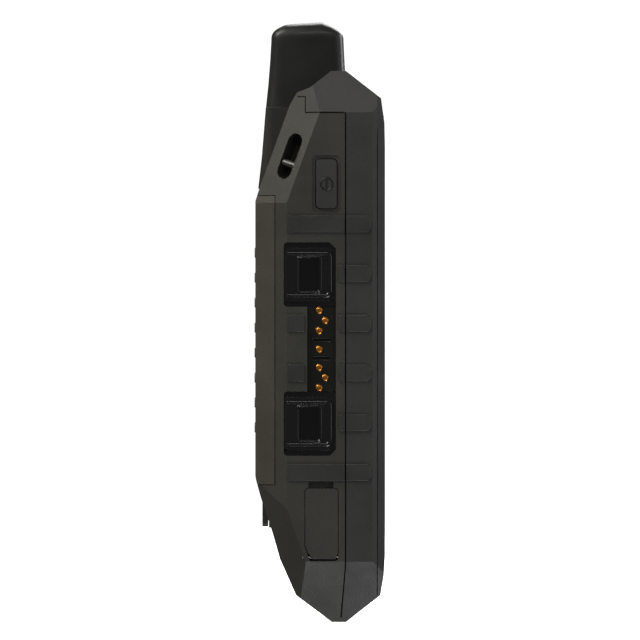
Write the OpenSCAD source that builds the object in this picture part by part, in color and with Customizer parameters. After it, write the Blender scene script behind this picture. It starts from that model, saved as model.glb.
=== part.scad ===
// Rugged handheld satellite navigation unit, standing upright.
// The screen faces -Y, the battery door faces +Y and the latch sockets are on -X.

/* [Body] */
// Height of the body without the antenna
body_h = 162.3; // [158:0.1:180]
// Width between the two side walls
body_w = 73.2; // [70:0.1:88]
// Depth between the front and back faces
body_d = 38.5; // [37:0.1:46]
// Thickness of the moulded walls
wall = 2.2; // [1.8:0.1:2.6]
// Depth of the front bezel band
bezel_depth = 2.25; // [1.8:0.05:2.6]
// Distance from the front face to the seam between the two housings
seam_depth = 11.6; // [11.2:0.1:13]
// Height of the seam under the top cap
cap_drop = 12.3; // [11:0.1:14]
// Height of the bottom corner facets
foot_h = 18; // [14:0.1:18]
// Half width of the flat foot
foot_half = 26; // [20:0.5:30]
// Half width of the flat top
shoulder_half = 30.5; // [29:0.5:33]
// Half width of the flat back, between the two long bevels
back_half = 29; // [28:0.5:30]
// Depth of the long back bevels
bevel_depth = 9.65; // [8:0.05:10]

/* [Screen] */
// Width of the screen glass
glass_w = 57.6; // [50:0.1:60]
// Height of the screen glass
glass_h = 93; // [80:0.1:93]
// Height of the glass's lower edge
glass_z = 56.5; // [56:0.1:60]
// Thickness of the screen glass
glass_t = 1.95; // [1:0.05:1.95]
// Thickness of the display module
lcd_t = 3; // [2:0.1:3.2]

/* [Keys] */
// Height of the keypad's centre
keypad_z = 35; // [34:0.1:37]
// Radius of the direction pad
dpad_r = 11.5; // [9:0.1:12]
// Radius of the enter key
enter_r = 4.2; // [3.4:0.1:4.4]
// Width of a menu key
key_w = 13; // [9:0.1:13]
// Height of a menu key
key_h = 8.6; // [6:0.1:9]
// Distance from the middle to a menu key's centre
key_x = 22.2; // [21.5:0.1:23]
// Distance between a menu key and the one above it
key_pitch = 14; // [11:0.1:16]
// Travel of a key
key_travel = 0.6; // [0.3:0.05:0.7]

/* [Power key] */
// Height of the power key's centre
power_z = 129; // [127:0.1:131]
// Length of the power key
power_len = 14.4; // [10:0.1:15]
// Width of the power key
power_w = 6.1; // [5:0.1:6.4]
// Travel of the power and emergency keys
side_travel = 0.5; // [0.3:0.05:0.5]

/* [Sockets and contacts] */
// Height halfway between the two latch sockets
socket_z = 80.45; // [78:0.05:83]
// Height between the two sockets' centres
socket_pitch = 43.8; // [42:0.1:46]
// Height of one socket insert
socket_h = 18.9; // [17:0.1:19]
// Depth of the latch pocket below the side wall
pocket_deep = 6; // [5:0.1:6.4]
// Radius of a charging contact
contact_r = 1; // [0.7:0.05:1.1]

/* [USB port and emergency key] */
// Height of the USB cover's upper edge
usb_top = 39.5; // [38.5:0.1:40]
// Height of the USB cover
usb_h = 21.1; // [20:0.1:21.1]
// Thickness of the USB cover and of the emergency flap
flap_t = 1.6; // [1.3:0.1:1.8]
// Radius of the flap hinge pins
flap_pin_r = 0.45; // [0.35:0.05:0.5]
// Height of the emergency key's centre
sos_z = 104; // [100:0.1:108]
// Height of the emergency flap
sos_h = 15; // [13:0.1:16]

/* [Battery door] */
// Depth from the back face to the door seam
door_depth = 6.05; // [5.5:0.05:6.5]
// Height of the door's upper seam
door_top = 125.5; // [122:0.1:125.5]
// Height of the door's lower seam
door_bottom = 40.6; // [39.5:0.1:42]
// Width of the battery
battery_w = 51; // [44:0.1:52]
// Height of the battery
battery_h = 70; // [60:0.1:72]
// Thickness of the battery
battery_t = 12; // [9:0.1:12.2]
// Number of grip bars on the back of the door
grip_bars = 8; // [4:1:10]
// Half width of the middle grip bars
bar_half = 14; // [10:0.5:20]
// How much shorter the outermost grip bars are, at each end
bar_taper = 4; // [1:0.5:6]

/* [Latch] */
// Height of the latch knob's axis
latch_z = 31.8; // [31:0.1:32]
// Radius of the latch knob's head
latch_r = 4.5; // [4:0.1:4.6]
// Width of the D-ring
ring_w = 13; // [11:0.1:14]
// Thickness of the D-ring
ring_t = 1.7; // [1.4:0.1:1.8]
// Length of the locking bar
bar_len = 13; // [11:0.1:13.5]

/* [Antenna] */
// Height of the antenna's tip above the body
antenna_rise = 15.7; // [12:0.1:22]
// Distance of the antenna's middle from the unit's middle
antenna_x = 17; // [12:0.1:17]
// Width of the antenna
antenna_w = 22; // [20:0.1:24]
// Radius of the antenna element
element_r = 5.6; // [4:0.1:6]

/* [Clearances] */
// Gap around the door and the flaps
panel_gap = 0.2; // [0.15:0.05:0.25]
// Gap around a key
key_gap = 0.25; // [0.2:0.05:0.3]
// Running clearance of a pin or a shaft, on the radius
run_gap = 0.05; // [0.03:0.01:0.08]
// Gap that the separate inner pieces keep
fit_gap = 0.1; // [0.05:0.05:0.15]

/* [Hidden] */
$fn = 64;
far = 200;
hair = 0.01;
half_w = body_w / 2;
total_h = body_h + antenna_rise;
front_y = -body_d / 2;
back_y = body_d / 2;
bezel_y = front_y + bezel_depth;
seam_y = front_y + seam_depth;
cap_z = body_h - cap_drop;
cap_y = 4.1;
cap_back_z = body_h - 7.4;
bevel_y = back_y - bevel_depth;
middle = [0, body_h / 2];

// The long slopes of the back: each runs from its foot to its tip, as [depth, height]
roof_foot = [back_y - 1.15, body_h - 35.7];
roof_tip = [back_y - 10.55, body_h - 9.9];
heel_foot = [back_y - 12.35, 8];
heel_tip = [back_y - 1.95, 36.8];
heel_bevel = 6.5;

// Behind the front face: front wall, display, mat, chassis and main board
front_wall_y = bezel_y + 2;
lcd_w = glass_w - 5;
lcd_h = glass_h - 8;
lcd_z = glass_z + 4;
flange_t = 0.7;
key_back_y = front_wall_y + fit_gap / 2 + flange_t;
mat_y = key_back_y + key_travel + fit_gap;
mat_t = 1.1;
chassis_y = mat_y + mat_t;
chassis_t = 1.2;
board_y = chassis_y + chassis_t;
board_t = 1.2;
board_w = body_w - 11.2;
board_h = body_h - 33.3;
board_z = 16;
module_half = 19;
module_low = 88;
module_high = 126;
module_t = 6.4;
mat_half_h = 16;
key_front_y = front_y + 0.1;
rocker_t = 0.3;
rocker_y = mat_y - 0.35 - rocker_t;
pad_back_y = rocker_y - 0.35;

// Battery bay, door and latch
door_y = back_y - door_depth;
door_skin = 2;
bay_wall = 2.2;
bay_half = battery_w / 2 + 0.6;
bay_back = back_y - door_skin - 0.2;
bay_floor = bay_back - 0.4 - battery_t;
bay_z = 46.6;
bay_top = bay_z + battery_h + 0.6;
contact_h = 1;
tongue_half = 11;
tongue_z = 25.5;
tongue_t = 2;
plate_t = 2;
ring_floor = door_y + 0.3;
head_y = ring_floor + fit_gap;
head_t = 1.4;
ring_y = head_y + head_t + 1.1;
ring_z = latch_z + 3.5;
ring_bar = 1.8;
ring_drop = 6.6;
ring_pin_r = 0.45;
bar_pitch = 7.4;
bar_h = 3;
bar_proud = 0.35;
bars_z = (door_bottom + door_top) / 2 - ((grip_bars - 1) * bar_pitch + bar_h) / 2;
shaft_r = 2.6;
bar_w = 4.4;
bar_t = 1.5;
plate_back = ring_floor - tongue_t - panel_gap;
plate_y = plate_back - plate_t;
bar_y = plate_y - 0.35;
hook_x = 16;
recess_half = 16;

// Side features
socket_y = 2.85;
socket_w = 15.3;
frame_w = 12.6;
pocket_w = 5.9;
pocket_h = 9.6;
insert_x = half_w - 7.2;
strip_front = 4.8;
strip_back = 3.6;
strip_half = socket_pitch / 2 - socket_h / 2 + 0.7;
contact_marks = [
    [0, 0.12], [5.4, 0.12], [-5.4, 0.12], [8.4, -1.65], [-8.4, -1.65], [11.4, 0.12], [-11.4, 0.12]
];
pad_pitch = 14.6;
pad_h = 5;
pad_t = 0.4;
pad_low = 41.7;
usb_y = -0.6;
usb_w = 9.6;
pin_off = 0.85;
flap_half = half_w - max(flap_t, 2 * pin_off - 0.1) - 0.15;
port_z = 30;
port_w = 9;
port_t = 3.3;
sos_y = -0.8;
sos_w = 9.6;
sos_r = 3;
port_x = half_w - 2.8;
power_y = -2.05;
rim = 1.15;
boss_t = 5.6;

// Lanyard slot across the upper bevel
lanyard_at = [-half_w + 3.3, back_y - 10.45, body_h - 25.1];
lanyard_w = 5.4;
lanyard_len = 14;
lanyard_deep = 4.6;
lanyard_wall = 1.5;
lanyard_bar_r = 1.1;

// Antenna
seam_z = body_h - 9.9;
antenna_y = 3.7;
element_stem = 2.2;
stem_y = cap_y - element_stem - 2.2;
dome_t = 1.8;

// Screws, torch and speaker
post_r = 2.6;
screw_spots = [[30.6, bay_z - 2.8], [30.6, bay_top - 1]];
screw_r = 0.95;
screw_head_r = 1.7;
torch = [-12, front_y + 13.65];
torch_r = 1.7;
slot_z = glass_z + glass_h + 1.7;
speaker_half = 10;
speaker_t = 3.4;

// ---------- outlines and plain shapes ----------

// Points of an outline, each moved towards the middle by inset along both axes
function drawn_in(points, inset, mid) =
    [for (p = points) [p.x - inset * sign(p.x - mid.x), p.y - inset * sign(p.y - mid.y)]];

// A half outline with its mirror image, as one closed loop
function mirrored_loop(half) =
    concat(half, [for (i = [len(half) - 1:-1:0]) [-half[i].x, half[i].y]]);

// The body seen from the side, as [depth, height]
side_points = [
    [front_y + 11.45, 0], [front_y + 15.55, 0], heel_foot, [back_y - 7.65, 18.5],
    [back_y - 5.05, 27.6], heel_tip, [back_y - 0.6, 41.7], [back_y, 45],
    [back_y, body_h - 39.5], roof_foot, roof_tip, [back_y - 12.65, body_h - 6.3],
    [back_y - 16.45, body_h - 4.9], [front_y + 15.85, body_h], [front_y + 11.45, body_h],
    [front_y + 1.15, body_h - 8.1], [front_y + 0.15, body_h - 15.3], [front_y, body_h - 22.3],
    [front_y, 20], [front_y + 0.35, 14], [front_y + 1.35, 8]
];

// Right half of the body seen from the front, as [width, height]
front_half = [[foot_half, 0], [half_w, foot_h], [half_w, cap_z], [shoulder_half, body_h]];

// Right half of the body's cross-section seen from above, as [width, depth]
plan_half = [[half_w - 2, front_y], [half_w, front_y + 3.7], [half_w, bevel_y], [back_half, back_y]];

// A square with round corners, centred, in true arcs
module soft_square(w, h, r) {
    square([w - 2 * r, h], center = true);
    square([w, h - 2 * r], center = true);
    for (x = [-1, 1], y = [-1, 1])
        translate([x * (w / 2 - r), y * (h / 2 - r)])
            circle(r);
}

// Extrudes a [depth, height] outline along X, between two values of X
module along_x(from, to) {
    translate([from, 0, 0])
        rotate([90, 0, 90])
            linear_extrude(to - from)
                children();
}

// Extrudes a [depth, height] outline between two distances from the middle, on side -1 or 1
module along_side(side, inner, outer) {
    along_x(min(side * inner, side * outer), max(side * inner, side * outer))
        children();
}

// Extrudes a [width, height] outline along Y, between two values of Y
module along_y(from, to) {
    translate([0, to, 0])
        rotate([90, 0, 0])
            linear_extrude(to - from)
                children();
}

// A block given by its lowest and highest corners
module block(low, high) {
    translate(low)
        cube(high - low);
}

// A straight rod along X or Y
module rod_x(from, to, y, z, r) {
    translate([from, y, z])
        rotate([0, 90, 0])
            cylinder(h = to - from, r = r);
}

module rod_y(x, from, to, z, r) {
    translate([x, from, z])
        rotate([-90, 0, 0])
            cylinder(h = to - from, r = r);
}

// ---------- outer form ----------

// The two wedges cut off along one slope of the back, so that its corners are bevelled
module slope_bevels(foot, tip, depth, inset) {
    lean = atan2(foot.x - tip.x, tip.y - foot.y);
    deep = depth * cos(lean);
    slant = (half_w - back_half) / deep;
    for (side = [-1, 1])
        translate([0, foot.x - inset, foot.y])
            rotate([lean, 0, 0])
                translate([0, 0, -far / 2])
                    linear_extrude(far)
                        polygon([
                            [side * (back_half - inset - 10 * slant), 10],
                            [side * (half_w - inset + 5 * slant), -deep - 5],
                            [side * far, -deep - 5],
                            [side * far, 10]
                        ]);
}

// The closed outer form of the body, with every face moved inwards by inset
module envelope(inset) {
    difference() {
        intersection() {
            along_x(-half_w + inset, half_w - inset)
                polygon(drawn_in(side_points, inset, middle));
            along_y(-far, far)
                polygon(drawn_in(mirrored_loop(front_half), inset, middle));
            linear_extrude(far)
                polygon(drawn_in(mirrored_loop(plan_half), inset, [0, 0]));
        }
        slope_bevels(roof_foot, roof_tip, bevel_depth, inset);
        slope_bevels(heel_foot, heel_tip, heel_bevel, inset);
    }
}

// The space in front of the seam between the two housings, with the whole top cap
module front_space() {
    along_x(-far, far)
        polygon([
            [-far, -far], [seam_y + 1.3, -far], [seam_y + 1.3, 0], [seam_y, foot_h - 1],
            [seam_y, cap_z], [cap_y, cap_z], [cap_y, cap_back_z], [far, cap_back_z],
            [far, far], [-far, far]
        ]);
}

// ---------- housings ----------

// Outlines of the openings for the keys, as [width, height]
module key_spots() {
    for (x = [-1, 1], z = [-0.5, 0.5])
        translate([x * key_x, keypad_z + z * key_pitch])
            children();
}

// The front keys' openings, wider than the keys by a gap
module key_openings() {
    key_spots()
        soft_square(key_w + 2 * key_gap, key_h + 2 * key_gap, 2 + key_gap);
    translate([0, keypad_z])
        circle(dpad_r + 2 * key_gap);
}

// Band of the front face, open for the glass, the keys and the speaker
module front_bezel() {
    color("#2b2c2c")
        difference() {
            intersection() {
                envelope(0);
                block([-far, -far, 0], [far, bezel_y, far]);
            }
            along_y(-far, far)
                union() {
                    translate([0, glass_z + glass_h / 2])
                        soft_square(glass_w + 2 * fit_gap, glass_h + 2 * fit_gap, 3);
                    key_openings();
                    speaker_slots();
                }
        }
}

// Three short slots above the screen, for the speaker
module speaker_slots() {
    for (x = [-1, 0, 1])
        translate([x * 4.4, slot_z])
            soft_square(3.2, 1.1, 0.5);
}

// Front shell with the whole top cap
module front_housing() {
    color("#303131")
        difference() {
            intersection() {
                envelope(0);
                front_space();
                block([-far, bezel_y, 0], [far, far, far]);
            }
            difference() {
                intersection() {
                    envelope(wall);
                    block([-far, front_wall_y, 0], [far, far, far]);
                }
                screw_posts(board_y + board_t + fit_gap, seam_y);
            }
            along_y(-far, far)
                union() {
                    translate([0, lcd_z + lcd_h / 2])
                        square([lcd_w + 2 * fit_gap, lcd_h + 2 * fit_gap], center = true);
                    key_openings();
                    speaker_slots();
                }
            translate([antenna_x, stem_y, 0])
                cylinder(h = far, r = element_stem + run_gap);
            torch_hole();
            housing_seal();
            screw_shanks(hair);
        }
}

// Outline of one socket insert; flip turns its rounded front corner down
module socket_outline(flip, grow) {
    mirror([0, flip < 0 ? 1 : 0, 0])
        difference() {
            soft_square(socket_w + 2 * grow, socket_h + 2 * grow, 1 + grow);
            translate([-socket_w / 2 - grow, socket_h / 2 + grow])
                rotate(45)
                    square(2.6, center = true);
        }
}

// The two socket inserts' outlines with the contact channel, as one opening in the side wall
module side_opening() {
    for (flip = [-1, 1])
        translate([socket_y, socket_z + flip * socket_pitch / 2])
            socket_outline(flip, 0);
    translate([-strip_front, socket_z - strip_half])
        square([strip_front + strip_back, 2 * strip_half]);
}

// Outline of the USB cover, with its cut lower corner
module cover_outline(w, h, grow) {
    translate([0, h / 2])
        difference() {
            soft_square(w + 2 * grow, h + 2 * grow, 1 + grow);
            translate([w / 2 + grow, -h / 2 - grow])
                rotate(-20)
                    square([3, 9], center = true);
        }
}

// The battery door's space: everything behind the door seam, with the tongue of the latch
module door_space(gap) {
    block([-far, door_y - gap, door_bottom - gap], [far, far, door_top + gap]);
    block([-tongue_half - gap, ring_floor - tongue_t - gap, tongue_z - gap],
        [tongue_half + gap, far, door_bottom + 2 + gap]);
}

// The finger recess between the door and the D-ring
module finger_recess() {
    block([-recess_half, door_y + 1.2, latch_z + 4.8], [recess_half, far, door_bottom]);
}

// The solid wall around the battery bay
module bay_block() {
    block([-bay_half - bay_wall, bay_floor - bay_wall, bay_z - bay_wall],
        [bay_half + bay_wall, far, bay_top + bay_wall]);
}

// The closed cup behind the door's tongue, in which the locking bar turns
module bar_cup(grow) {
    rod_y(0, bar_y - bar_t - 0.4 - grow, plate_back, latch_z, bar_len / 2 + 0.7 + grow);
}

// Local thickening of a side wall around a flap: side is -1 or 1
module flap_boss(side, y, w, z, h) {
    along_side(side, half_w - boss_t, half_w)
        translate([y, z + h / 2])
            square([w + 3.2, h + 3.2], center = true);
}

// The pocket of a flap, with the bore of its hinge pin
module flap_pocket(side, y, w, z, h) {
    along_side(side, flap_half, half_w + 1)
        translate([y, z])
            cover_outline(w, h, panel_gap);
    rod_y(side * (half_w - pin_off), y - w / 2 - 1, y + w / 2 + 1, z + pin_off, flap_pin_r + hair);
}

// Rear shell with the battery bay, the side openings and the bosses behind them
module rear_housing() {
    color("#3a3b38")
        difference() {
            rear_skin();
            rear_hollow();
            rear_cuts();
        }
}

// The hollow behind the rear shell's walls, less the bay, the door's seat, the posts and the bosses
module rear_hollow() {
    difference() {
        envelope(wall);
        bay_block();
        block([-far, door_y - wall, door_bottom - wall], [far, far, door_top + wall + 3]);
        block([-tongue_half - wall, plate_y, tongue_z - wall], [tongue_half + wall, far, door_bottom]);
        bar_cup(wall);
        screw_posts(seam_y - 1, door_y);
        flap_boss(-1, usb_y, usb_w, usb_top - usb_h, usb_h);
        flap_boss(1, sos_y, sos_w, sos_z - sos_h / 2, sos_h);
        lanyard_slot(lanyard_wall, lanyard_deep + lanyard_wall + 0.3);
    }
}

// The rear shell's outer form
module rear_skin() {
    difference() {
        envelope(0);
        front_space();
        door_space(panel_gap);
        finger_recess();
    }
}

// Where the four housing screws stand, as [width, height]
module at_screws() {
    for (side = [-1, 1], spot = screw_spots)
        translate([side * spot.x, 0, spot.y])
            mirror([side < 0 ? 1 : 0, 0, 0])
                children();
}

// The screw posts with the ribs that tie them to the side walls
module screw_posts(from, to) {
    at_screws() {
        rod_y(0, from, to, 0, post_r);
        block([0, from, -1], [half_w - screw_spots[0].x - 1, to, 1]);
    }
}

// The screw shanks, wider by grow
module screw_shanks(grow) {
    at_screws()
        rod_y(0, board_y + board_t + 1, door_y - 1.6, 0, screw_r + grow);
}

// The lanyard slot across the upper bevel: grown sideways by grow and sunk by depth
module lanyard_frame() {
    lean = atan2(roof_foot.x - roof_tip.x, roof_tip.y - roof_foot.y);
    turn = atan2(bevel_depth, half_w - back_half);
    translate(lanyard_at)
        rotate([lean, 0, 0])
            rotate([0, 0, turn])
                children();
}

module lanyard_slot(grow, depth) {
    lanyard_frame()
        along_y(-depth, 6)
            soft_square(lanyard_w + 2 * grow, lanyard_len + 2 * grow, lanyard_w / 2 - 0.1 + grow);
}

// Steel bar that the lanyard's loop goes round
module lanyard_bar(grow = 0) {
    color("#8a8a80")
        lanyard_frame()
            rod_x(-lanyard_w / 2 - 1, lanyard_w / 2 + 1, -1.7, -2.2, lanyard_bar_r + grow);
}

// Everything that is cut out of the rear shell after its bosses are added
module rear_cuts() {
    along_side(-1, insert_x - 1, half_w + 1)
        side_opening();
    flap_pocket(-1, usb_y, usb_w, usb_top - usb_h, usb_h);
    flap_pocket(1, sos_y, sos_w, sos_z - sos_h / 2, sos_h);
    along_side(-1, half_w - 1, half_w + 1)
        translate([usb_y + 0.2, usb_top + 1])
            soft_square(7.4, 2.2, 0.6);
    along_side(-1, port_x, flap_half + 1)
        translate([usb_y, port_z])
            soft_square(port_t + 1.2, port_w + 1.6, 1.6);
    along_side(-1, 0, port_x + 1)
        translate([usb_y, port_z])
            soft_square(port_t, port_w, 1.6);
    rod_x(half_w - boss_t - 1, flap_half + 1, sos_y, sos_z, sos_r + key_gap);
    along_side(-1, half_w - 0.3, half_w + 1)
        translate([power_y, power_z])
            soft_square(power_w + 2 * rim, power_len + 2 * rim, 1.6);
    along_side(-1, half_w - wall - 1, half_w + 1)
        translate([power_y, power_z])
            soft_square(power_w + 2 * key_gap, power_len + 2 * key_gap, 1.4);
    lanyard_slot(0, lanyard_deep);
    lanyard_bar(hair);
    block([-bay_half, bay_floor, bay_z], [bay_half, far, bay_top]);
    door_seal();
    for (x = [-hook_x, hook_x])
        block([x - 3.8, door_y - 0.7, door_top - 1], [x + 3.8, door_y + 2.8, door_top + 3]);
    rod_y(0, bar_y - bar_t - 0.4, plate_y, latch_z, bar_len / 2 + 0.7);
    along_y(plate_y - 1, plate_back + 1)
        translate([0, latch_z]) {
            soft_square(bar_len + 1.2, bar_w + 1.2, 1);
            circle(shaft_r + 0.6);
        }
    at_screws()
        rod_y(0, door_y - 1.6, door_y + 1, 0, screw_head_r + fit_gap);
    screw_shanks(hair);
}

// The rubber ring in the seam between the two housings
module housing_seal() {
    thick = 0.7;
    color("#181818")
        intersection() {
            difference() {
                envelope(0.75);
                envelope(1.5);
            }
            along_x(-far, far)
                polygon([
                    [seam_y + 1.3, 0], [seam_y, foot_h - 1], [seam_y, cap_z], [cap_y, cap_z],
                    [cap_y, cap_back_z], [far, cap_back_z], [far, cap_back_z + thick],
                    [cap_y - thick, cap_back_z + thick], [cap_y - thick, cap_z + thick],
                    [seam_y - thick, cap_z + thick], [seam_y - thick, foot_h - 1],
                    [seam_y + 1.3 - thick, 0]
                ]);
        }
}

// The four screws under the battery door
module housing_screws() {
    color("#6d6f70")
        difference() {
            union() {
                screw_shanks(0);
                at_screws()
                    rod_y(0, door_y - 1.6, door_y - 0.2, 0, screw_head_r);
            }
            at_screws()
                along_y(door_y - 1.1, door_y)
                    circle(0.8, $fn = 6);
        }
}

// Raised grip pads in two columns on each side, clear of everything in the side walls
module side_grips() {
    color("#3c3d3b")
        for (side = [-1, 1])
            along_side(side, half_w, half_w + pad_t)
                difference() {
                    for (i = [0:5])
                        translate([0, pad_low + i * pad_pitch])
                            polygon([
                                [front_y + 4.1, 1], [front_y + 5.1, 0], [bevel_y - 0.1, 0],
                                [bevel_y - 0.1, pad_h], [front_y + 5.1, pad_h], [front_y + 4.1, pad_h - 1]
                            ]);
                    translate([seam_y - 0.2, 0])
                        square([0.4, far]);
                    if (side < 0) {
                        translate([-strip_front - 0.8, socket_z - socket_pitch / 2 - socket_h / 2 - 0.8])
                            square([strip_front + strip_back + 1.6, socket_pitch + socket_h + 1.6]);
                        for (flip = [-1, 1])
                            translate([socket_y, socket_z + flip * socket_pitch / 2])
                                square([socket_w + 1.6, socket_h + 1.6], center = true);
                    } else {
                        translate([sos_y, sos_z])
                            square([sos_w + 1.6, sos_h + 1.6], center = true);
                    }
                }
}

// ---------- front pieces ----------

module screen_glass() {
    color("#0c0d0e")
        along_y(bezel_y - glass_t, bezel_y)
            translate([0, glass_z + glass_h / 2])
                soft_square(glass_w, glass_h, 3);
}

module display_module() {
    color("#22262a")
        block([-lcd_w / 2, bezel_y, lcd_z], [lcd_w / 2, bezel_y + lcd_t, lcd_z + lcd_h]);
}

// Rubber mat behind the keys, open under the direction pad's rocker
module keypad_mat() {
    color("#4a4b4a")
        block([-key_x - key_w / 2 - 0.5, mat_y, keypad_z - mat_half_h],
            [key_x + key_w / 2 + 0.5, mat_y + mat_t, keypad_z + mat_half_h]);
}

// One menu key: a cap through the bezel and a flange behind the front wall
module menu_key(x, z) {
    color("#3d3e3d")
        translate([x * key_x, 0, keypad_z + z * key_pitch / 2]) {
            along_y(key_front_y, key_back_y)
                soft_square(key_w, key_h, 2);
            along_y(key_back_y - flange_t, key_back_y)
                soft_square(key_w + 1.2, key_h + 1.2, 2.6);
        }
}

// Ring for the thumb, round the enter key
module direction_pad() {
    color("#3d3e3d")
        difference() {
            rod_y(0, key_front_y, pad_back_y, keypad_z, dpad_r);
            rod_y(0, key_front_y - 1, pad_back_y + 1, keypad_z, enter_r + 0.7);
        }
}

// Thin ring between the direction pad and the mat, which lets the pad tilt both ways
module pad_rocker() {
    color("#8c8f92")
        difference() {
            rod_y(0, rocker_y, rocker_y + rocker_t, keypad_z, enter_r + 2.4);
            rod_y(0, rocker_y - 1, rocker_y + 1, keypad_z, enter_r + 0.8);
        }
}

module enter_key() {
    color("#4c4d4b")
        rod_y(0, key_front_y - 0.05, key_back_y, keypad_z, enter_r);
}

// Metal plate that carries the boards, notched round the screw posts
module chassis_plate() {
    color("#9a9c9e")
        difference() {
            block([-board_w / 2, chassis_y, board_z], [board_w / 2, board_y, board_z + board_h]);
            post_notches();
        }
}

module main_board() {
    color("#1f4a33")
        difference() {
            block([-board_w / 2, board_y, board_z], [board_w / 2, board_y + board_t, board_z + board_h]);
            post_notches();
        }
}

module post_notches() {
    at_screws()
        rod_y(0, chassis_y - 1, board_y + board_t + 1, 0, post_r + 0.4);
}

// Shielded satellite transceiver on the back of the main board
module satellite_module() {
    color("#b4b6b5")
        block([-module_half, board_y + board_t, module_low],
            [module_half, board_y + board_t + module_t, module_high]);
}

module speaker() {
    color("#2a2a2a")
        block([-speaker_half, front_wall_y, lcd_z + lcd_h + 0.7],
            [speaker_half, front_wall_y + speaker_t, slot_z + 0.6]);
}

// Torch window in the top face, and the hole that it sits in
module torch_hole() {
    translate([torch.x, torch.y, body_h - wall - 1.5])
        cylinder(h = far, r = torch_r + hair);
}

module torch_lens() {
    color("#c8d2d4")
        translate([torch.x, torch.y, body_h - wall])
            cylinder(h = wall - 0.2, r = torch_r);
}

module torch_led() {
    color("#d8c75a")
        translate([torch.x, torch.y, body_h - wall - 1.2])
            cylinder(h = 1.1, r = torch_r - 0.3);
}

// ---------- side pieces ----------

module power_key() {
    color("#3b3c3b")
        union() {
            along_side(-1, half_w - wall - 1, half_w + 0.1)
                translate([power_y, power_z])
                    soft_square(power_w, power_len, 1.2);
            along_side(-1, half_w - wall - 0.85, half_w - wall - 0.05)
                translate([power_y, power_z])
                    soft_square(power_w + 1.4, power_len + 1.4, 1.6);
        }
}

// Switch on its small upright board, soldered to the main board; side is -1 or 1
module side_switch(side, y, z, back, front) {
    along_side(side, back, front)
        translate([y, z])
            circle(2.5);
    along_side(side, back - 0.8, back)
        translate([board_y + board_t, z - 6])
            square([y + 3 - board_y - board_t, 12]);
}

module power_switch() {
    color("#54585a")
        side_switch(-1, power_y, power_z, board_w / 2 - 0.6, half_w - wall - 1 - side_travel - fit_gap);
}

// Glossy insert of one latch socket: a sunken floor, a raised frame and the latch pocket
module latch_socket(flip) {
    color("#131314")
        difference() {
            intersection() {
                envelope(0.1);
                union() {
                    along_side(-1, insert_x, half_w - 1.2)
                        translate([socket_y, socket_z + flip * socket_pitch / 2])
                            socket_outline(flip, 0);
                    along_side(-1, half_w - 1.3, half_w - 0.15)
                        translate([socket_y + 0.65, socket_z + flip * socket_pitch / 2])
                            soft_square(frame_w + 1, socket_h - 3.2, 1);
                }
            }
            along_side(-1, half_w - 0.15 - pocket_deep, half_w + 1)
                translate([socket_y + 0.2, socket_z + flip * socket_pitch / 2])
                    soft_square(pocket_w, pocket_h, 0.6);
        }
}

// Black block that carries the contacts between the two sockets
module contact_strip() {
    color("#0f100e")
        difference() {
            along_side(-1, half_w - 5, half_w - 1)
                translate([-strip_front, socket_z - strip_half + 0.7])
                    square([strip_front + strip_back, 2 * strip_half - 1.4]);
            contact_pins(half_w - 6, hair);
        }
}

module contact_pins(inner, grow) {
    for (mark = contact_marks)
        along_side(-1, inner, half_w - 0.8)
            translate([mark.y, socket_z + mark.x])
                circle(contact_r + grow);
}

module side_contacts() {
    color("#c98a2e")
        contact_pins(half_w - 5.4, 0);
}

module usb_receptacle() {
    color("#9fa3a6")
        along_side(-1, port_x - 7, port_x)
            translate([usb_y, port_z])
                difference() {
                    soft_square(port_t, port_w, 1.6);
                    soft_square(port_t - 0.7, port_w - 0.7, 1.25);
                }
    color("#202020") {
        along_side(-1, port_x - 7, port_x - 6)
            translate([usb_y, port_z])
                soft_square(port_t - 0.6, port_w - 0.6, 1.3);
        along_side(-1, port_x - 6.1, port_x - 0.6)
            translate([usb_y, port_z])
                square([0.7, 6.7], center = true);
    }
}

// Flap with a round knuckle at its lower edge
module flap(side, y, w, z, h) {
    difference() {
        union() {
            along_side(side, half_w - flap_t, half_w)
                translate([y, z])
                    intersection() {
                        cover_outline(w, h, 0);
                        polygon([
                            [-w / 2 + 0.6, pin_off], [w / 2 - 2, pin_off], [w / 2, pin_off + 2],
                            [w / 2, h], [-w / 2, h], [-w / 2, pin_off + 1.2]
                        ]);
                    }
            rod_y(side * (half_w - pin_off), y - w / 2 + 0.6, y + w / 2 - 2, z + pin_off, pin_off - 0.1);
        }
        rod_y(side * (half_w - pin_off), y - w, y + w, z + pin_off, flap_pin_r + run_gap);
    }
}

module flap_pin(side, y, w, z) {
    color("#8d9092")
        rod_y(side * (half_w - pin_off), y - w / 2 - 0.9, y + w / 2 + 0.9, z + pin_off, flap_pin_r);
}

// Cover of the USB port, with a sealing rib round the port
module usb_cover() {
    color("#3b3937") {
        flap(-1, usb_y, usb_w, usb_top - usb_h, usb_h);
        along_side(-1, half_w - flap_t - 0.6, half_w - flap_t)
            translate([usb_y, port_z])
                soft_square(port_t, port_w, 1.4);
    }
}

module usb_cover_pin() {
    flap_pin(-1, usb_y, usb_w, usb_top - usb_h);
}

module emergency_flap() {
    color("#3b3937")
        flap(1, sos_y, sos_w, sos_z - sos_h / 2, sos_h);
}

module emergency_flap_pin() {
    flap_pin(1, sos_y, sos_w, sos_z - sos_h / 2);
}

module emergency_key() {
    color("#a8371f")
        along_side(1, half_w - boss_t + 1.3, flap_half - 0.3)
            translate([sos_y, sos_z])
                circle(sos_r);
}

module emergency_switch() {
    color("#54585a")
        side_switch(1, sos_y, sos_z, board_w / 2 - 0.8, half_w - boss_t + 1.3 - side_travel - fit_gap);
}

// ---------- antenna ----------

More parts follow.
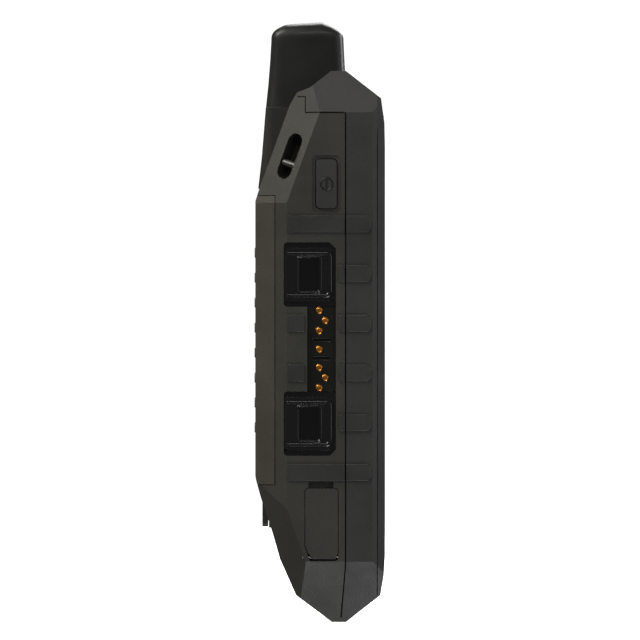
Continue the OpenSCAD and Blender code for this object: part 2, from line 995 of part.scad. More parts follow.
// The antenna seen from the side, from its seam up and from its seam down
radome_points = [
    [-8, seam_z], [-7.9, body_h], [-7, total_h - 3], [-6.6, total_h - 2.1], [-1, total_h],
    [10.1, total_h - 0.6], [13, total_h - 2.1], [14.4, total_h - 4.4], [14.5, total_h - 6.7],
    [back_y - 3.85, body_h - 3.3], [back_y - 3.25, seam_z]
];
fairing_points = [
    [5, seam_z], [back_y - 3.25, seam_z], [back_y - 2.05, body_h - 24.8],
    [back_y - 0.98, roof_foot.y + 1.6], [5, roof_foot.y + 1.6]
];

// An outline of the antenna at its full width, with round corners seen from above
module antenna_block(points) {
    intersection() {
        along_x(antenna_x - antenna_w / 2, antenna_x + antenna_w / 2)
            polygon(points);
        translate([antenna_x, back_y - 13.75, 0])
            linear_extrude(far)
                soft_square(antenna_w, 26.8, 5);
    }
}

module antenna_base() {
    color("#262727")
        difference() {
            antenna_block(fairing_points);
            envelope(0);
        }
}

module antenna_radome() {
    color("#242525")
        difference() {
            antenna_block(radome_points);
            envelope(0);
            translate([antenna_x, antenna_y, body_h - 14])
                cylinder(h = total_h - body_h + 14 - dome_t - 0.8, r = element_r + 0.8);
        }
}

// Helix former on its stem, which plugs into the top cap
module antenna_element() {
    color("#b9a77c")
        union() {
            translate([antenna_x, stem_y, cap_z - 1])
                cylinder(h = cap_drop + 2, r = element_stem);
            translate([antenna_x, antenna_y, body_h + 0.5])
                cylinder(h = total_h - body_h - dome_t - 1.7, r = element_r);
        }
}

// ---------- battery and door ----------

module battery_pack() {
    color("#2d3236")
        block([-battery_w / 2, bay_floor, bay_z + contact_h],
            [battery_w / 2, bay_floor + battery_t, bay_z + contact_h + battery_h - 1]);
}

module battery_contacts() {
    color("#c98a2e")
        for (x = [-7.5:5:7.5])
            block([x - 1, bay_floor, bay_z], [x + 1, bay_floor + 5, bay_z + contact_h]);
}

// Ring that seals the door against its seat
module door_seal() {
    color("#1c1c1c")
        along_y(door_y - panel_gap - 1, door_y - panel_gap)
            translate([0, (bay_z + bay_top) / 2])
                difference() {
                    soft_square(2 * bay_half + 3, bay_top - bay_z + 3, 3);
                    soft_square(2 * bay_half + 1, bay_top - bay_z + 1, 2);
                }
}

// One raised bar across the back of the door
module grip_bar(half, z) {
    block([-half, back_y - 1, z], [half, back_y, z + bar_h]);
}

module battery_door() {
    color("#4a493f")
        difference() {
            union() {
                intersection() {
                    envelope(0);
                    difference() {
                        union() {
                            block([-far, door_y, door_bottom], [far, back_y - bar_proud, door_top]);
                            block([-tongue_half, ring_floor - tongue_t, tongue_z],
                                [tongue_half, far, door_bottom + 2]);
                        }
                        finger_recess();
                        block([-9.5, ring_floor, 0], [9.5, far, latch_z + 4.9]);
                    }
                }
                for (x = [-hook_x, hook_x])
                    block([x - 3, door_y + 0.6, door_top - 2], [x + 3, door_y + 2, door_top + 2]);
                for (i = [0:grip_bars - 1])
                    grip_bar(bar_half - bar_taper * pow(2 * i / (grip_bars - 1) - 1, 2),
                        bars_z + i * bar_pitch);
            }
            block([-bay_half + 0.3, 0, bay_z], [bay_half - 0.3, back_y - door_skin, bay_top + 1.8]);
            rod_y(0, 0, far, latch_z, shaft_r + run_gap);
        }
}

// Quarter-turn knob: head, shaft, locking bar and the ear that carries the D-ring
module latch_knob() {
    color("#55574f")
        difference() {
            union() {
                rod_y(0, head_y, head_y + head_t, latch_z, latch_r);
                rod_y(0, bar_y - bar_t, head_y + 0.5, latch_z, shaft_r);
                along_y(bar_y - bar_t, bar_y)
                    translate([0, latch_z])
                        soft_square(bar_len, bar_w, 0.8);
                block([-1.5, head_y, ring_z - 0.9], [1.5, ring_y + 0.8, ring_z + 0.9]);
            }
            rod_x(-2, 2, ring_y, ring_z, ring_pin_r + hair);
        }
}

// D-ring, folded down at rest, on its pin
module latch_ring() {
    mid = ring_z - ring_drop / 2;
    color("#2c2d2b")
        difference() {
            union() {
                for (side = [-1, 1])
                    mirror([side < 0 ? 1 : 0, 0, 0])
                        rod_x(1.8, ring_w / 2 - 0.1, ring_y, ring_z, 0.9);
                along_y(ring_y - ring_t / 2, ring_y + ring_t / 2)
                    translate([0, mid])
                        difference() {
                            translate([0, -ring_bar / 4])
                                soft_square(ring_w, ring_drop + ring_bar / 2, 1.4);
                            translate([0, ring_bar / 2])
                                soft_square(ring_w - 2 * ring_bar, ring_drop + ring_bar / 2, 1);
                        }
            }
            rod_x(-far, far, ring_y, ring_z, ring_pin_r + run_gap);
        }
}

module latch_ring_pin() {
    color("#9a9c9c")
        rod_x(-ring_w / 2 + 0.4, ring_w / 2 - 0.4, ring_y, ring_z, ring_pin_r);
}

front_bezel();
front_housing();
rear_housing();
housing_seal();
housing_screws();
side_grips();
screen_glass();
display_module();
keypad_mat();
menu_key(-1, 1);  // key_page
menu_key(1, 1);  // key_mark
menu_key(-1, -1);  // key_back
menu_key(1, -1);  // key_menu
direction_pad();
pad_rocker();
enter_key();
chassis_plate();
main_board();
satellite_module();
speaker();
power_key();
power_switch();
latch_socket(1);  // upper_socket
latch_socket(-1);  // lower_socket
contact_strip();
side_contacts();
usb_receptacle();
usb_cover();
usb_cover_pin();
emergency_key();
emergency_switch();
emergency_flap();
emergency_flap_pin();
torch_lens();
torch_led();
lanyard_bar();
antenna_base();
antenna_radome();
antenna_element();
battery_pack();
battery_contacts();
door_seal();
battery_door();
latch_knob();
latch_ring();
latch_ring_pin();
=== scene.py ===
"""Looks of a rugged handheld satellite navigation unit: finishes, rounded mouldings, keys, antenna and latch.

Lengths are in metres unless a name or its description says mm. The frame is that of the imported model: +Z up,
the screen faces -Y, the battery door +Y and the latch sockets -X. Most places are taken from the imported
nodes' boxes.
"""

import logging
import math
from dataclasses import dataclass, field
from enum import Enum
from typing import Callable, Sequence

import bmesh
import bpy
import numpy as np
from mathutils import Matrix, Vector
from mathutils.bvhtree import BVHTree


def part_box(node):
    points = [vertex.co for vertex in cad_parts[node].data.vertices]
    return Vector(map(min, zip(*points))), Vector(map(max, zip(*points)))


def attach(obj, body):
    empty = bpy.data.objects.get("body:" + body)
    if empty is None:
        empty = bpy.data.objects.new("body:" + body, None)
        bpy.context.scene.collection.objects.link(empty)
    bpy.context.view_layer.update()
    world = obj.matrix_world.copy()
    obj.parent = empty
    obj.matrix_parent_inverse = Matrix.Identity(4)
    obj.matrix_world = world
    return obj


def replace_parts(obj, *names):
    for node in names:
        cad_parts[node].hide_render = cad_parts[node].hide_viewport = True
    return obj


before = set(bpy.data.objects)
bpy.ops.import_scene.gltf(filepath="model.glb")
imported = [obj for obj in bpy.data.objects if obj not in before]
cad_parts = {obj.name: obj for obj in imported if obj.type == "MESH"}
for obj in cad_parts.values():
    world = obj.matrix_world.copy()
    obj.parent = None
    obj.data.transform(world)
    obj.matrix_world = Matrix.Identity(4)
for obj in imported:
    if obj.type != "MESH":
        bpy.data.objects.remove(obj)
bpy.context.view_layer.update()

MM = 0.001
WELD = 0.002 * MM
FLAT_DEGREES = 1.2
FAR_OUT = 100 * MM
LOG = logging.getLogger("handheld_unit")
Colour = tuple[float, float, float]
Point = tuple[float, float, float]


# ---------------------------------------------------------------- finishes


class Grain(Enum):
    """The kinds of surface texture that a finish can carry."""

    MOULDED = "moulded"
    SATIN = "satin"
    POLISHED = "polished"
    BRUSHED = "brushed"
    SPARKLE = "sparkle"


@dataclass(frozen=True)
class Finish:
    """A procedural surface finish.

    Attributes:
        title: name of the material.
        colour: linear base colour.
        roughness: mean roughness.
        grain: kind of surface texture.
        grain_mm: width of one grain.
        depth_mm: height of the grain.
        drift: how far the colour wanders, as a share of the base colour.
        metallic: 1 for bare metal.
        coat: weight of a clear coat.
        dust: share of the fine pale dust and rubbing marks.
        specular: specular level.
        transmission: share of light that passes through.
    """

    title: str
    colour: Colour
    roughness: float = 0.5
    grain: Grain = Grain.MOULDED
    grain_mm: float = 0.35
    depth_mm: float = 0.02
    drift: float = 0.12
    metallic: float = 0.0
    coat: float = 0.0
    dust: float = 0.06
    specular: float = 0.5
    transmission: float = 0.0

    def material(self) -> bpy.types.Material:
        """Returns this finish as a node material, made on first use.

        Returns:
            The material, with detail in colour, roughness and height.
        """
        made = bpy.data.materials.get(self.title + "_finish")
        if made is not None:
            return made
        made = bpy.data.materials.new(self.title + "_finish")
        made.use_nodes = True
        tree = made.node_tree
        shader = tree.nodes["Principled BSDF"]
        shader.inputs["Metallic"].default_value = self.metallic
        shader.inputs["Coat Weight"].default_value = self.coat
        shader.inputs["Coat Roughness"].default_value = 0.12
        shader.inputs["Specular IOR Level"].default_value = self.specular
        shader.inputs["Transmission Weight"].default_value = self.transmission
        place = tree.nodes.new("ShaderNodeTexCoord").outputs["Object"]
        self._colour(tree, shader, place)
        self._roughness(tree, shader, place)
        self._bump(tree, shader, place)
        return made

    def _noise(self, tree: bpy.types.NodeTree, place: bpy.types.NodeSocket, size_mm: float, detail: float,
               stretch: Point = (1.0, 1.0, 1.0)) -> bpy.types.NodeSocket:
        """Returns the 0 to 1 value of a noise whose lumps are about size_mm wide.

        Args:
            tree: node tree to add to.
            place: socket with the object coordinates.
            size_mm: width of one lump.
            detail: number of finer octaves.
            stretch: factor on each axis, below 1 to lengthen the lumps along it.

        Returns:
            The socket with the noise's value.
        """
        mapping = tree.nodes.new("ShaderNodeMapping")
        mapping.inputs["Scale"].default_value = stretch
        tree.links.new(place, mapping.inputs["Vector"])
        noise = tree.nodes.new("ShaderNodeTexNoise")
        noise.inputs["Scale"].default_value = 1.0 / (size_mm * MM)
        noise.inputs["Detail"].default_value = detail
        noise.inputs["Roughness"].default_value = 0.55
        tree.links.new(mapping.outputs["Vector"], noise.inputs["Vector"])
        return noise.outputs["Fac"]

    def _ramp(self, tree: bpy.types.NodeTree, value: bpy.types.NodeSocket, low: float, high: float,
              out_low: float, out_high: float) -> bpy.types.NodeSocket:
        """Returns value remapped from low..high to out_low..out_high, clamped.

        Args:
            tree: node tree to add to.
            value: socket to remap.
            low: input that gives out_low.
            high: input that gives out_high.
            out_low: lower end of the output.
            out_high: upper end of the output.

        Returns:
            The socket with the remapped value.
        """
        node = tree.nodes.new("ShaderNodeMapRange")
        for key, number in (("From Min", low), ("From Max", high), ("To Min", out_low), ("To Max", out_high)):
            node.inputs[key].default_value = number
        tree.links.new(value, node.inputs["Value"])
        return node.outputs["Result"]

    def _mix(self, tree: bpy.types.NodeTree, share: bpy.types.NodeSocket,
             first: bpy.types.NodeSocket | Colour, second: Colour) -> bpy.types.NodeSocket:
        """Returns a colour that goes from first to second as share goes from 0 to 1.

        Args:
            tree: node tree to add to.
            share: socket with the share of the second colour.
            first: colour, or a socket with one.
            second: the other colour.

        Returns:
            The socket with the mixed colour.
        """
        node = tree.nodes.new("ShaderNodeMix")
        node.data_type = "RGBA"
        tree.links.new(share, node.inputs["Factor"])
        if isinstance(first, tuple):
            node.inputs["A"].default_value = (*first, 1.0)
        else:
            tree.links.new(first, node.inputs["A"])
        node.inputs["B"].default_value = (*second, 1.0)
        return node.outputs["Result"]

    def _colour(self, tree: bpy.types.NodeTree, shader: bpy.types.Node, place: bpy.types.NodeSocket) -> None:
        """Base colour: slow drift, fine mottling and a little pale dust in the grain.

        Args:
            tree: node tree to add to.
            shader: the shader to feed.
            place: socket with the object coordinates.
        """
        darker = tuple(c * (1 - self.drift) for c in self.colour)
        lighter = tuple(min(1.0, c * (1 + self.drift)) for c in self.colour)
        slow = self._ramp(tree, self._noise(tree, place, 24.0, 3.0), 0.35, 0.65, 0.0, 1.0)
        base = self._mix(tree, slow, darker, lighter)
        fine = self._ramp(tree, self._noise(tree, place, self.grain_mm * 1.7, 2.0), 0.5, 0.8, 0.0, 0.5)
        base = self._mix(tree, fine, base, tuple(c * 0.72 for c in self.colour))
        if self.dust > 0:
            specks = self._ramp(tree, self._noise(tree, place, 1.4, 6.0), 0.56, 0.74, 0.0, self.dust)
            pale = tuple(min(1.0, c * 1.9 + 0.012) for c in self.colour)
            base = self._mix(tree, specks, base, pale)
        tree.links.new(base, shader.inputs["Base Color"])

    def _roughness(self, tree: bpy.types.NodeTree, shader: bpy.types.Node,
                   place: bpy.types.NodeSocket) -> None:
        """Roughness: handled patches are smoother, others rougher.

        Args:
            tree: node tree to add to.
            shader: the shader to feed.
            place: socket with the object coordinates.
        """
        patches = self._noise(tree, place, 11.0, 4.0)
        low, high = max(0.03, self.roughness * 0.82), min(1.0, self.roughness * 1.18)
        tree.links.new(self._ramp(tree, patches, 0.3, 0.7, low, high), shader.inputs["Roughness"])

    def _bump(self, tree: bpy.types.NodeTree, shader: bpy.types.Node, place: bpy.types.NodeSocket) -> None:
        """Bump: the grain itself, drawn out along Z on brushed metal.

        Args:
            tree: node tree to add to.
            shader: the shader to feed.
            place: socket with the object coordinates.
        """
        stretch = {Grain.BRUSHED: (1.0, 1.0, 0.06)}.get(self.grain, (1.0, 1.0, 1.0))
        detail = {Grain.MOULDED: 2.5, Grain.SATIN: 1.5, Grain.POLISHED: 1.0}.get(self.grain, 3.0)
        height = self._noise(tree, place, self.grain_mm, detail, stretch)
        if self.grain is Grain.MOULDED:
            height = self._ramp(tree, height, 0.36, 0.66, 0.0, 1.0)
        bump = tree.nodes.new("ShaderNodeBump")
        bump.inputs["Strength"].default_value = 0.85
        bump.inputs["Distance"].default_value = self.depth_mm * MM
        tree.links.new(height, bump.inputs["Height"])
        tree.links.new(bump.outputs["Normal"], shader.inputs["Normal"])


FRONT_SHELL = Finish("front_shell", (0.034, 0.0345, 0.0345), 0.52, grain_mm=0.45, depth_mm=0.018)
# Partly painted light: the yellowish tint of the rear shell and the battery door stands in for the warm light
# that falls on the back, on top of the warm top_back_light.
REAR_SHELL = Finish("rear_shell", (0.040, 0.0395, 0.0335), 0.52, grain_mm=0.5, depth_mm=0.022)
DOOR_SHELL = Finish("door_shell", (0.058, 0.0555, 0.0435), 0.52, grain_mm=0.5, depth_mm=0.022)
BEZEL = Finish("bezel", (0.021, 0.0215, 0.022), 0.42, grain=Grain.SATIN, grain_mm=0.3, depth_mm=0.008)
GRIP_RUBBER = Finish("grip_rubber", (0.038, 0.0382, 0.0365), 0.44, grain_mm=0.4, depth_mm=0.02, specular=0.4)
ANTENNA_SHELL = Finish("antenna_shell", (0.0165, 0.0168, 0.017), 0.4, grain_mm=0.4, depth_mm=0.012)
KEY_RUBBER = Finish("key_rubber", (0.036, 0.036, 0.034), 0.58, grain=Grain.SATIN, grain_mm=0.35,
                    depth_mm=0.012)
COVER_RUBBER = Finish("cover_rubber", (0.044, 0.041, 0.037), 0.62, grain_mm=0.45, depth_mm=0.02, specular=0.4)
SEAL_RUBBER = Finish("seal_rubber", (0.012, 0.012, 0.012), 0.7, grain=Grain.SATIN, specular=0.35)
GLOSS_BLACK = Finish("gloss_black", (0.0055, 0.0055, 0.006), 0.16, grain=Grain.POLISHED, grain_mm=1.6,
                     depth_mm=0.004, drift=0.05, coat=0.6, dust=0.015)
# Near-black for the dark joints between the shells and along the bezel; on the contact strip's slots it is
# painted shade.
SLOT_BLACK = Finish("slot_black", (0.0012, 0.0012, 0.0012), 0.8, grain=Grain.SATIN, specular=0.15, dust=0.0)
STRIP_BLACK = Finish("strip_black", (0.0045, 0.0045, 0.004), 0.38, grain=Grain.SATIN, grain_mm=0.3,
                     depth_mm=0.008)
GOLD = Finish("gold_plate", (0.62, 0.25, 0.045), 0.36, grain=Grain.SPARKLE, grain_mm=0.22, depth_mm=0.006,
              metallic=1.0, dust=0.0, drift=0.18)
STEEL = Finish("steel", (0.42, 0.42, 0.40), 0.3, grain=Grain.BRUSHED, grain_mm=0.18, depth_mm=0.004,
               metallic=1.0, dust=0.02)
DARK_METAL = Finish("dark_coated_metal", (0.035, 0.035, 0.033), 0.42, grain_mm=0.25, depth_mm=0.01, coat=0.25)
ALLOY = Finish("cast_alloy", (0.5, 0.5, 0.5), 0.45, grain=Grain.SPARKLE, grain_mm=0.5, depth_mm=0.02,
               metallic=1.0)
TIN = Finish("tinned_can", (0.6, 0.6, 0.58), 0.35, grain=Grain.BRUSHED, grain_mm=0.4, depth_mm=0.006,
             metallic=1.0)
BOARD = Finish("solder_mask", (0.01, 0.06, 0.03), 0.35, grain=Grain.SPARKLE, grain_mm=0.8, depth_mm=0.03,
               coat=0.4)
BATTERY = Finish("battery_sleeve", (0.016, 0.018, 0.022), 0.34, grain=Grain.SATIN, grain_mm=0.9,
                 depth_mm=0.01)
CERAMIC = Finish("former", (0.42, 0.36, 0.24), 0.6, grain=Grain.SATIN, grain_mm=0.5, depth_mm=0.01)
ORANGE = Finish("signal_orange", (0.55, 0.09, 0.015), 0.45, grain=Grain.SATIN, grain_mm=0.3, depth_mm=0.01)
MARK_DARK = Finish("moulded_mark", (0.009, 0.009, 0.009), 0.4, grain=Grain.SATIN, grain_mm=0.2,
                   depth_mm=0.004, dust=0.0)
# Partly painted highlight: the grip bars are paler than the door to stand in for the light that their raised
# edges catch.
BAR_GREY = Finish("grip_bar", (0.15, 0.148, 0.138), 0.5, grain=Grain.SATIN, grain_mm=0.35, depth_mm=0.01)
ANTENNA_FOOT = Finish("antenna_foot", (0.024, 0.0242, 0.022), 0.5, grain_mm=0.45, depth_mm=0.018)
LEGEND = Finish("pale_legend", (0.34, 0.34, 0.32), 0.55, grain=Grain.SATIN, grain_mm=0.2, depth_mm=0.004)
GLASS = Finish("cover_glass", (0.86, 0.89, 0.9), 0.04, grain=Grain.POLISHED, grain_mm=6.0, depth_mm=0.0004,
               drift=0.01, dust=0.0, transmission=1.0)
LENS = Finish("torch_window", (0.9, 0.92, 0.93), 0.08, grain=Grain.POLISHED, grain_mm=1.5, depth_mm=0.002,
              drift=0.02, dust=0.0, transmission=1.0)
DISPLAY = Finish("display_off", (0.018, 0.022, 0.024), 0.22, grain=Grain.SPARKLE, grain_mm=0.25,
                 depth_mm=0.001, drift=0.08, dust=0.0, coat=0.3)
MASK = Finish("printed_mask", (0.003, 0.003, 0.0035), 0.12, grain=Grain.POLISHED, grain_mm=1.0,
              depth_mm=0.001, dust=0.0)
PHOSPHOR = Finish("phosphor", (0.75, 0.62, 0.12), 0.4, grain=Grain.SATIN, grain_mm=0.2, depth_mm=0.004)


# ---------------------------------------------------------------- surfaces and copies


@dataclass
class Parts:
    """Remembers every piece made, so that the builder can report them."""

    made: list[bpy.types.Object] = field(default_factory=list)

    def add(self, piece: bpy.types.Object) -> bpy.types.Object:
        """Keeps piece and returns it."""
        self.made.append(piece)
        return piece


PARTS = Parts()


def link_piece(name: str, mesh: bpy.types.Mesh, finish: Finish) -> bpy.types.Object:
    """Returns a new object in the scene that holds mesh with one finish.

    Args:
        name: name of the piece.
        mesh: its mesh, in the shared frame.
        finish: surface finish of the whole piece.

    Returns:
        The new object, at the origin.
    """
    mesh.materials.clear()
    mesh.materials.append(finish.material())
    piece = bpy.data.objects.new(name, mesh)
    bpy.context.scene.collection.objects.link(piece)
    return PARTS.add(piece)


def smooth_by_angle(mesh: bpy.types.Mesh, degrees: float) -> None:
    """Shades mesh smooth and keeps every edge sharper than the angle as a crease."""
    mesh.shade_smooth()
    mesh.set_sharp_from_angle(angle=math.radians(degrees))


def grid_mesh(name: str, points: np.ndarray, close_u: bool = False, close_v: bool = False,
              caps: bool = False) -> bpy.types.Mesh:
    """Returns a mesh over a grid of points.

    Args:
        name: name of the mesh.
        points: array of shape (rows, columns, 3), in metres.
        close_u: join the last row to the first.
        close_v: join the last column to the first.
        caps: fill the first and the last row with a fan.

    Returns:
        The mesh, with one face for each cell of the grid.
    """
    rows, columns = points.shape[:2]
    index = np.arange(rows * columns).reshape(rows, columns)
    if close_u:
        index = np.vstack([index, index[:1]])
    if close_v:
        index = np.hstack([index, index[:, :1]])
    quads = np.stack([index[:-1, :-1], index[:-1, 1:], index[1:, 1:], index[1:, :-1]], axis=-1).reshape(-1, 4)
    faces = quads.tolist()
    if caps:
        faces += [index[0, :columns][::-1].tolist(), index[-1, :columns].tolist()]
    mesh = bpy.data.meshes.new(name)
    mesh.from_pydata(points.reshape(-1, 3).tolist(), [], faces)
    mesh.update()
    return mesh


def face_outward(mesh: bpy.types.Mesh) -> None:
    """Turns every face of mesh outward.

    Args:
        mesh: mesh to change.
    """
    work = bmesh.new()
    work.from_mesh(mesh)
    bmesh.ops.recalc_face_normals(work, faces=work.faces)
    work.to_mesh(mesh)
    work.free()


def tube(name: str, path: np.ndarray, radius: float, sides: int = 10, closed: bool = False,
         flat: float = 1.0, up: Point = (0.0, 0.0, 1.0)) -> bpy.types.Mesh:
    """Returns a round or oval bar along a path.

    Each ring is the path's point plus radius times (cos a * side + flat * sin a * lift), where side is square
    to the path and up, and lift is square to side and the path.

    Args:
        name: name of the mesh.
        path: array of shape (points, 3).
        radius: half width of the bar.
        sides: points around the bar.
        closed: the path is a loop.
        flat: height of the section as a share of its width.
        up: direction of the section's height, never along the path.

    Returns:
        The bar's mesh.
    """
    if closed:
        ahead = np.roll(path, -1, axis=0) - np.roll(path, 1, axis=0)
    else:
        ahead = np.gradient(path, axis=0)
    ahead /= np.linalg.norm(ahead, axis=1, keepdims=True)
    side = np.cross(ahead, np.array(up))
    side /= np.linalg.norm(side, axis=1, keepdims=True)
    lift = np.cross(side, ahead)
    turn = np.linspace(0, 2 * math.pi, sides, endpoint=False)
    ring = np.cos(turn)[None, :, None] * side[:, None] + flat * np.sin(turn)[None, :, None] * lift[:, None]
    mesh = grid_mesh(name, path[:, None] + radius * ring, close_u=closed, close_v=True, caps=not closed)
    face_outward(mesh)
    smooth_by_angle(mesh, 60)
    return mesh


def lathe(name: str, centre: Point, axis: Point, profile: np.ndarray, sides: int = 48) -> bpy.types.Mesh:
    """Returns a solid of revolution.

    Each profile row (radius, height) gives a ring of that radius around the axis at that height.

    Args:
        name: name of the mesh.
        centre: foot of the axis.
        axis: unit direction of the axis.
        profile: array of shape (rows, 2), in metres.
        sides: points around the axis.

    Returns:
        The solid's mesh.
    """
    along = np.array(axis, dtype=float)
    helper = np.array([0.0, 0.0, 1.0]) if abs(along[2]) < 0.9 else np.array([1.0, 0.0, 0.0])
    side = np.cross(helper, along)
    side /= np.linalg.norm(side)
    other = np.cross(along, side)
    turn = np.linspace(0, 2 * math.pi, sides, endpoint=False)
    ring = np.cos(turn)[:, None] * side + np.sin(turn)[:, None] * other
    radius, height = profile[:, 0][:, None, None], profile[:, 1][:, None, None]
    points = np.array(centre) + radius * ring[None] + height * along
    mesh = grid_mesh(name, points, close_v=True, caps=True)
    face_outward(mesh)
    smooth_by_angle(mesh, 40)
    return mesh


def rounded_outline(width: float, height: float, radius: float, steps: int = 8) -> np.ndarray:
    """Returns the outline of a rectangle with round corners, centred, as (points, 2), anticlockwise.

    Args:
        width: full width.
        height: full height.
        radius: corner radius.
        steps: points in each corner.

    Returns:
        The outline, as an array of shape (4 * steps, 2).
    """
    turn = np.linspace(0, math.pi / 2, steps)
    arc = np.stack([np.cos(turn), np.sin(turn)], axis=1) * radius
    corners = []
    for quarter, (sx, sy) in enumerate(((1, 1), (-1, 1), (-1, -1), (1, -1))):
        c, s = round(math.cos(quarter * math.pi / 2)), round(math.sin(quarter * math.pi / 2))
        turned = arc @ np.array([[c, s], [-s, c]])
        corners.append(turned + np.array([sx * (width / 2 - radius), sy * (height / 2 - radius)]))
    return np.vstack(corners)


@dataclass
class Place:
    """A flat spot on the model where an outline is drawn.

    Attributes:
        origin: centre of the spot, in metres.
        right: unit direction of the outline's first coordinate.
        up: unit direction of the outline's second coordinate.
    """

    origin: Point
    right: Point
    up: Point

    def points(self, outline: np.ndarray, lift: float = 0.0) -> np.ndarray:
        """Returns outline (points, 2) laid on the spot, raised by lift along right x up.

        Args:
            outline: array of shape (points, 2).
            lift: distance off the spot.

        Returns:
            The laid outline, as an array of shape (points, 3).
        """
        right, up = np.array(self.right), np.array(self.up)
        out = np.cross(right, up)
        return np.array(self.origin) + outline[:, :1] * right + outline[:, 1:2] * up + lift * out


def plate(name: str, place: Place, outline: np.ndarray, low: float, high: float,
          edge: float) -> bpy.types.Mesh:
    """Returns a plate with a rounded upper edge over a closed outline.

    The rings go up the side at full size and then in over a quarter round: at angle a the outline is drawn in
    by edge * (1 - cos a) and raised to high - edge * (1 - sin a). A point moves in along the outline's normal.

    Args:
        name: name of the mesh.
        place: where the plate lies.
        outline: closed outline (points, 2), anticlockwise.
        low: height of its foot.
        high: height of its face.
        edge: radius of the round.

    Returns:
        The plate's mesh.
    """
    ahead = np.roll(outline, -1, axis=0) - np.roll(outline, 1, axis=0)
    inward = np.stack([-ahead[:, 1], ahead[:, 0]], axis=1)
    inward /= np.linalg.norm(inward, axis=1, keepdims=True) + 1e-12
    turn = np.linspace(0, math.pi / 2, 5)
    rings = [place.points(outline, low)]
    rings += [place.points(outline + inward * edge * (1 - math.cos(a)), high - edge * (1 - math.sin(a)))
              for a in turn]
    mesh = grid_mesh(name, np.stack(rings), close_v=True, caps=True)
    face_outward(mesh)
    smooth_by_angle(mesh, 50)
    return mesh


def clear_back_bars(work: bmesh.types.BMesh) -> None:
    """Takes the raised bars off a copy of the battery door and closes the face under them.

    Args:
        work: welded copy of the door, which is changed.
    """
    face_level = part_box("battery_door")[1].y - 0.3 * MM
    bars = [face for face in work.faces if face.calc_center_median().y > face_level]
    bmesh.ops.delete(work, geom=bars, context="FACES")
    open_edges = [edge for edge in work.edges if edge.is_boundary]
    bmesh.ops.holes_fill(work, edges=open_edges, sides=0)


def stand_in(node: str, finish: Finish, body: str, bevel_mm: float = 0.3, segments: int = 3,
             angle: float = 28.0, change: Callable[[bmesh.types.BMesh], None] | None = None
             ) -> bpy.types.Object:
    """Makes a softened copy of a CAD node, hides the node and ties the copy to the node's body.

    The copy's doubled points are welded, its flat faces are joined, and its outward creases get a small
    round. Inward creases stay sharp.

    Args:
        node: CAD node to copy.
        finish: surface finish.
        body: body that the node belongs to.
        bevel_mm: width of the round, 0 for none.
        segments: steps of the round.
        angle: smallest crease angle that is rounded, in degrees.
        change: what is done to the welded copy before its flat faces are joined.

    Returns:
        The finished copy, named after the node.
    """
    source = bpy.data.objects[node]
    mesh = source.data.copy()
    mesh.transform(source.matrix_world)
    work = bmesh.new()
    work.from_mesh(mesh)
    bmesh.ops.remove_doubles(work, verts=work.verts, dist=WELD)
    if change is not None:
        change(work)
    bmesh.ops.dissolve_limit(work, angle_limit=math.radians(FLAT_DEGREES), verts=work.verts, edges=work.edges)
    weight = work.edges.layers.float.new("bevel_weight_edge")
    crease = math.radians(angle)
    for edge in work.edges:
        if len(edge.link_faces) == 2 and edge.calc_face_angle_signed(0.0) > crease:
            edge[weight] = 1.0
    work.to_mesh(mesh)
    work.free()
    smooth_by_angle(mesh, angle)
    piece = link_piece(f"{node}_finished", mesh, finish)
    if bevel_mm > 0:
        soften = piece.modifiers.new("soft_edges", "BEVEL")
        soften.width = bevel_mm * MM
        soften.segments = segments
        soften.limit_method = "WEIGHT"
        soften.use_clamp_overlap = True
        flat = piece.modifiers.new("flat_faces", "WEIGHTED_NORMAL")
        flat.keep_sharp = True
        flat.weight = 80
    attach(piece, body)
    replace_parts(piece, node)
    return piece


def add_piece(mesh: bpy.types.Mesh, finish: Finish, body: str) -> bpy.types.Object:
    """Puts a new mesh in the scene under its own name, tied to a body and kept in the list of pieces.

    Args:
        mesh: mesh of the piece, in the shared frame.
        finish: surface finish.
        body: body that carries it.

    Returns:
        The new piece.
    """
    piece = link_piece(mesh.name, mesh, finish)
    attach(piece, body)
    return piece


# ---------------------------------------------------------------- housing


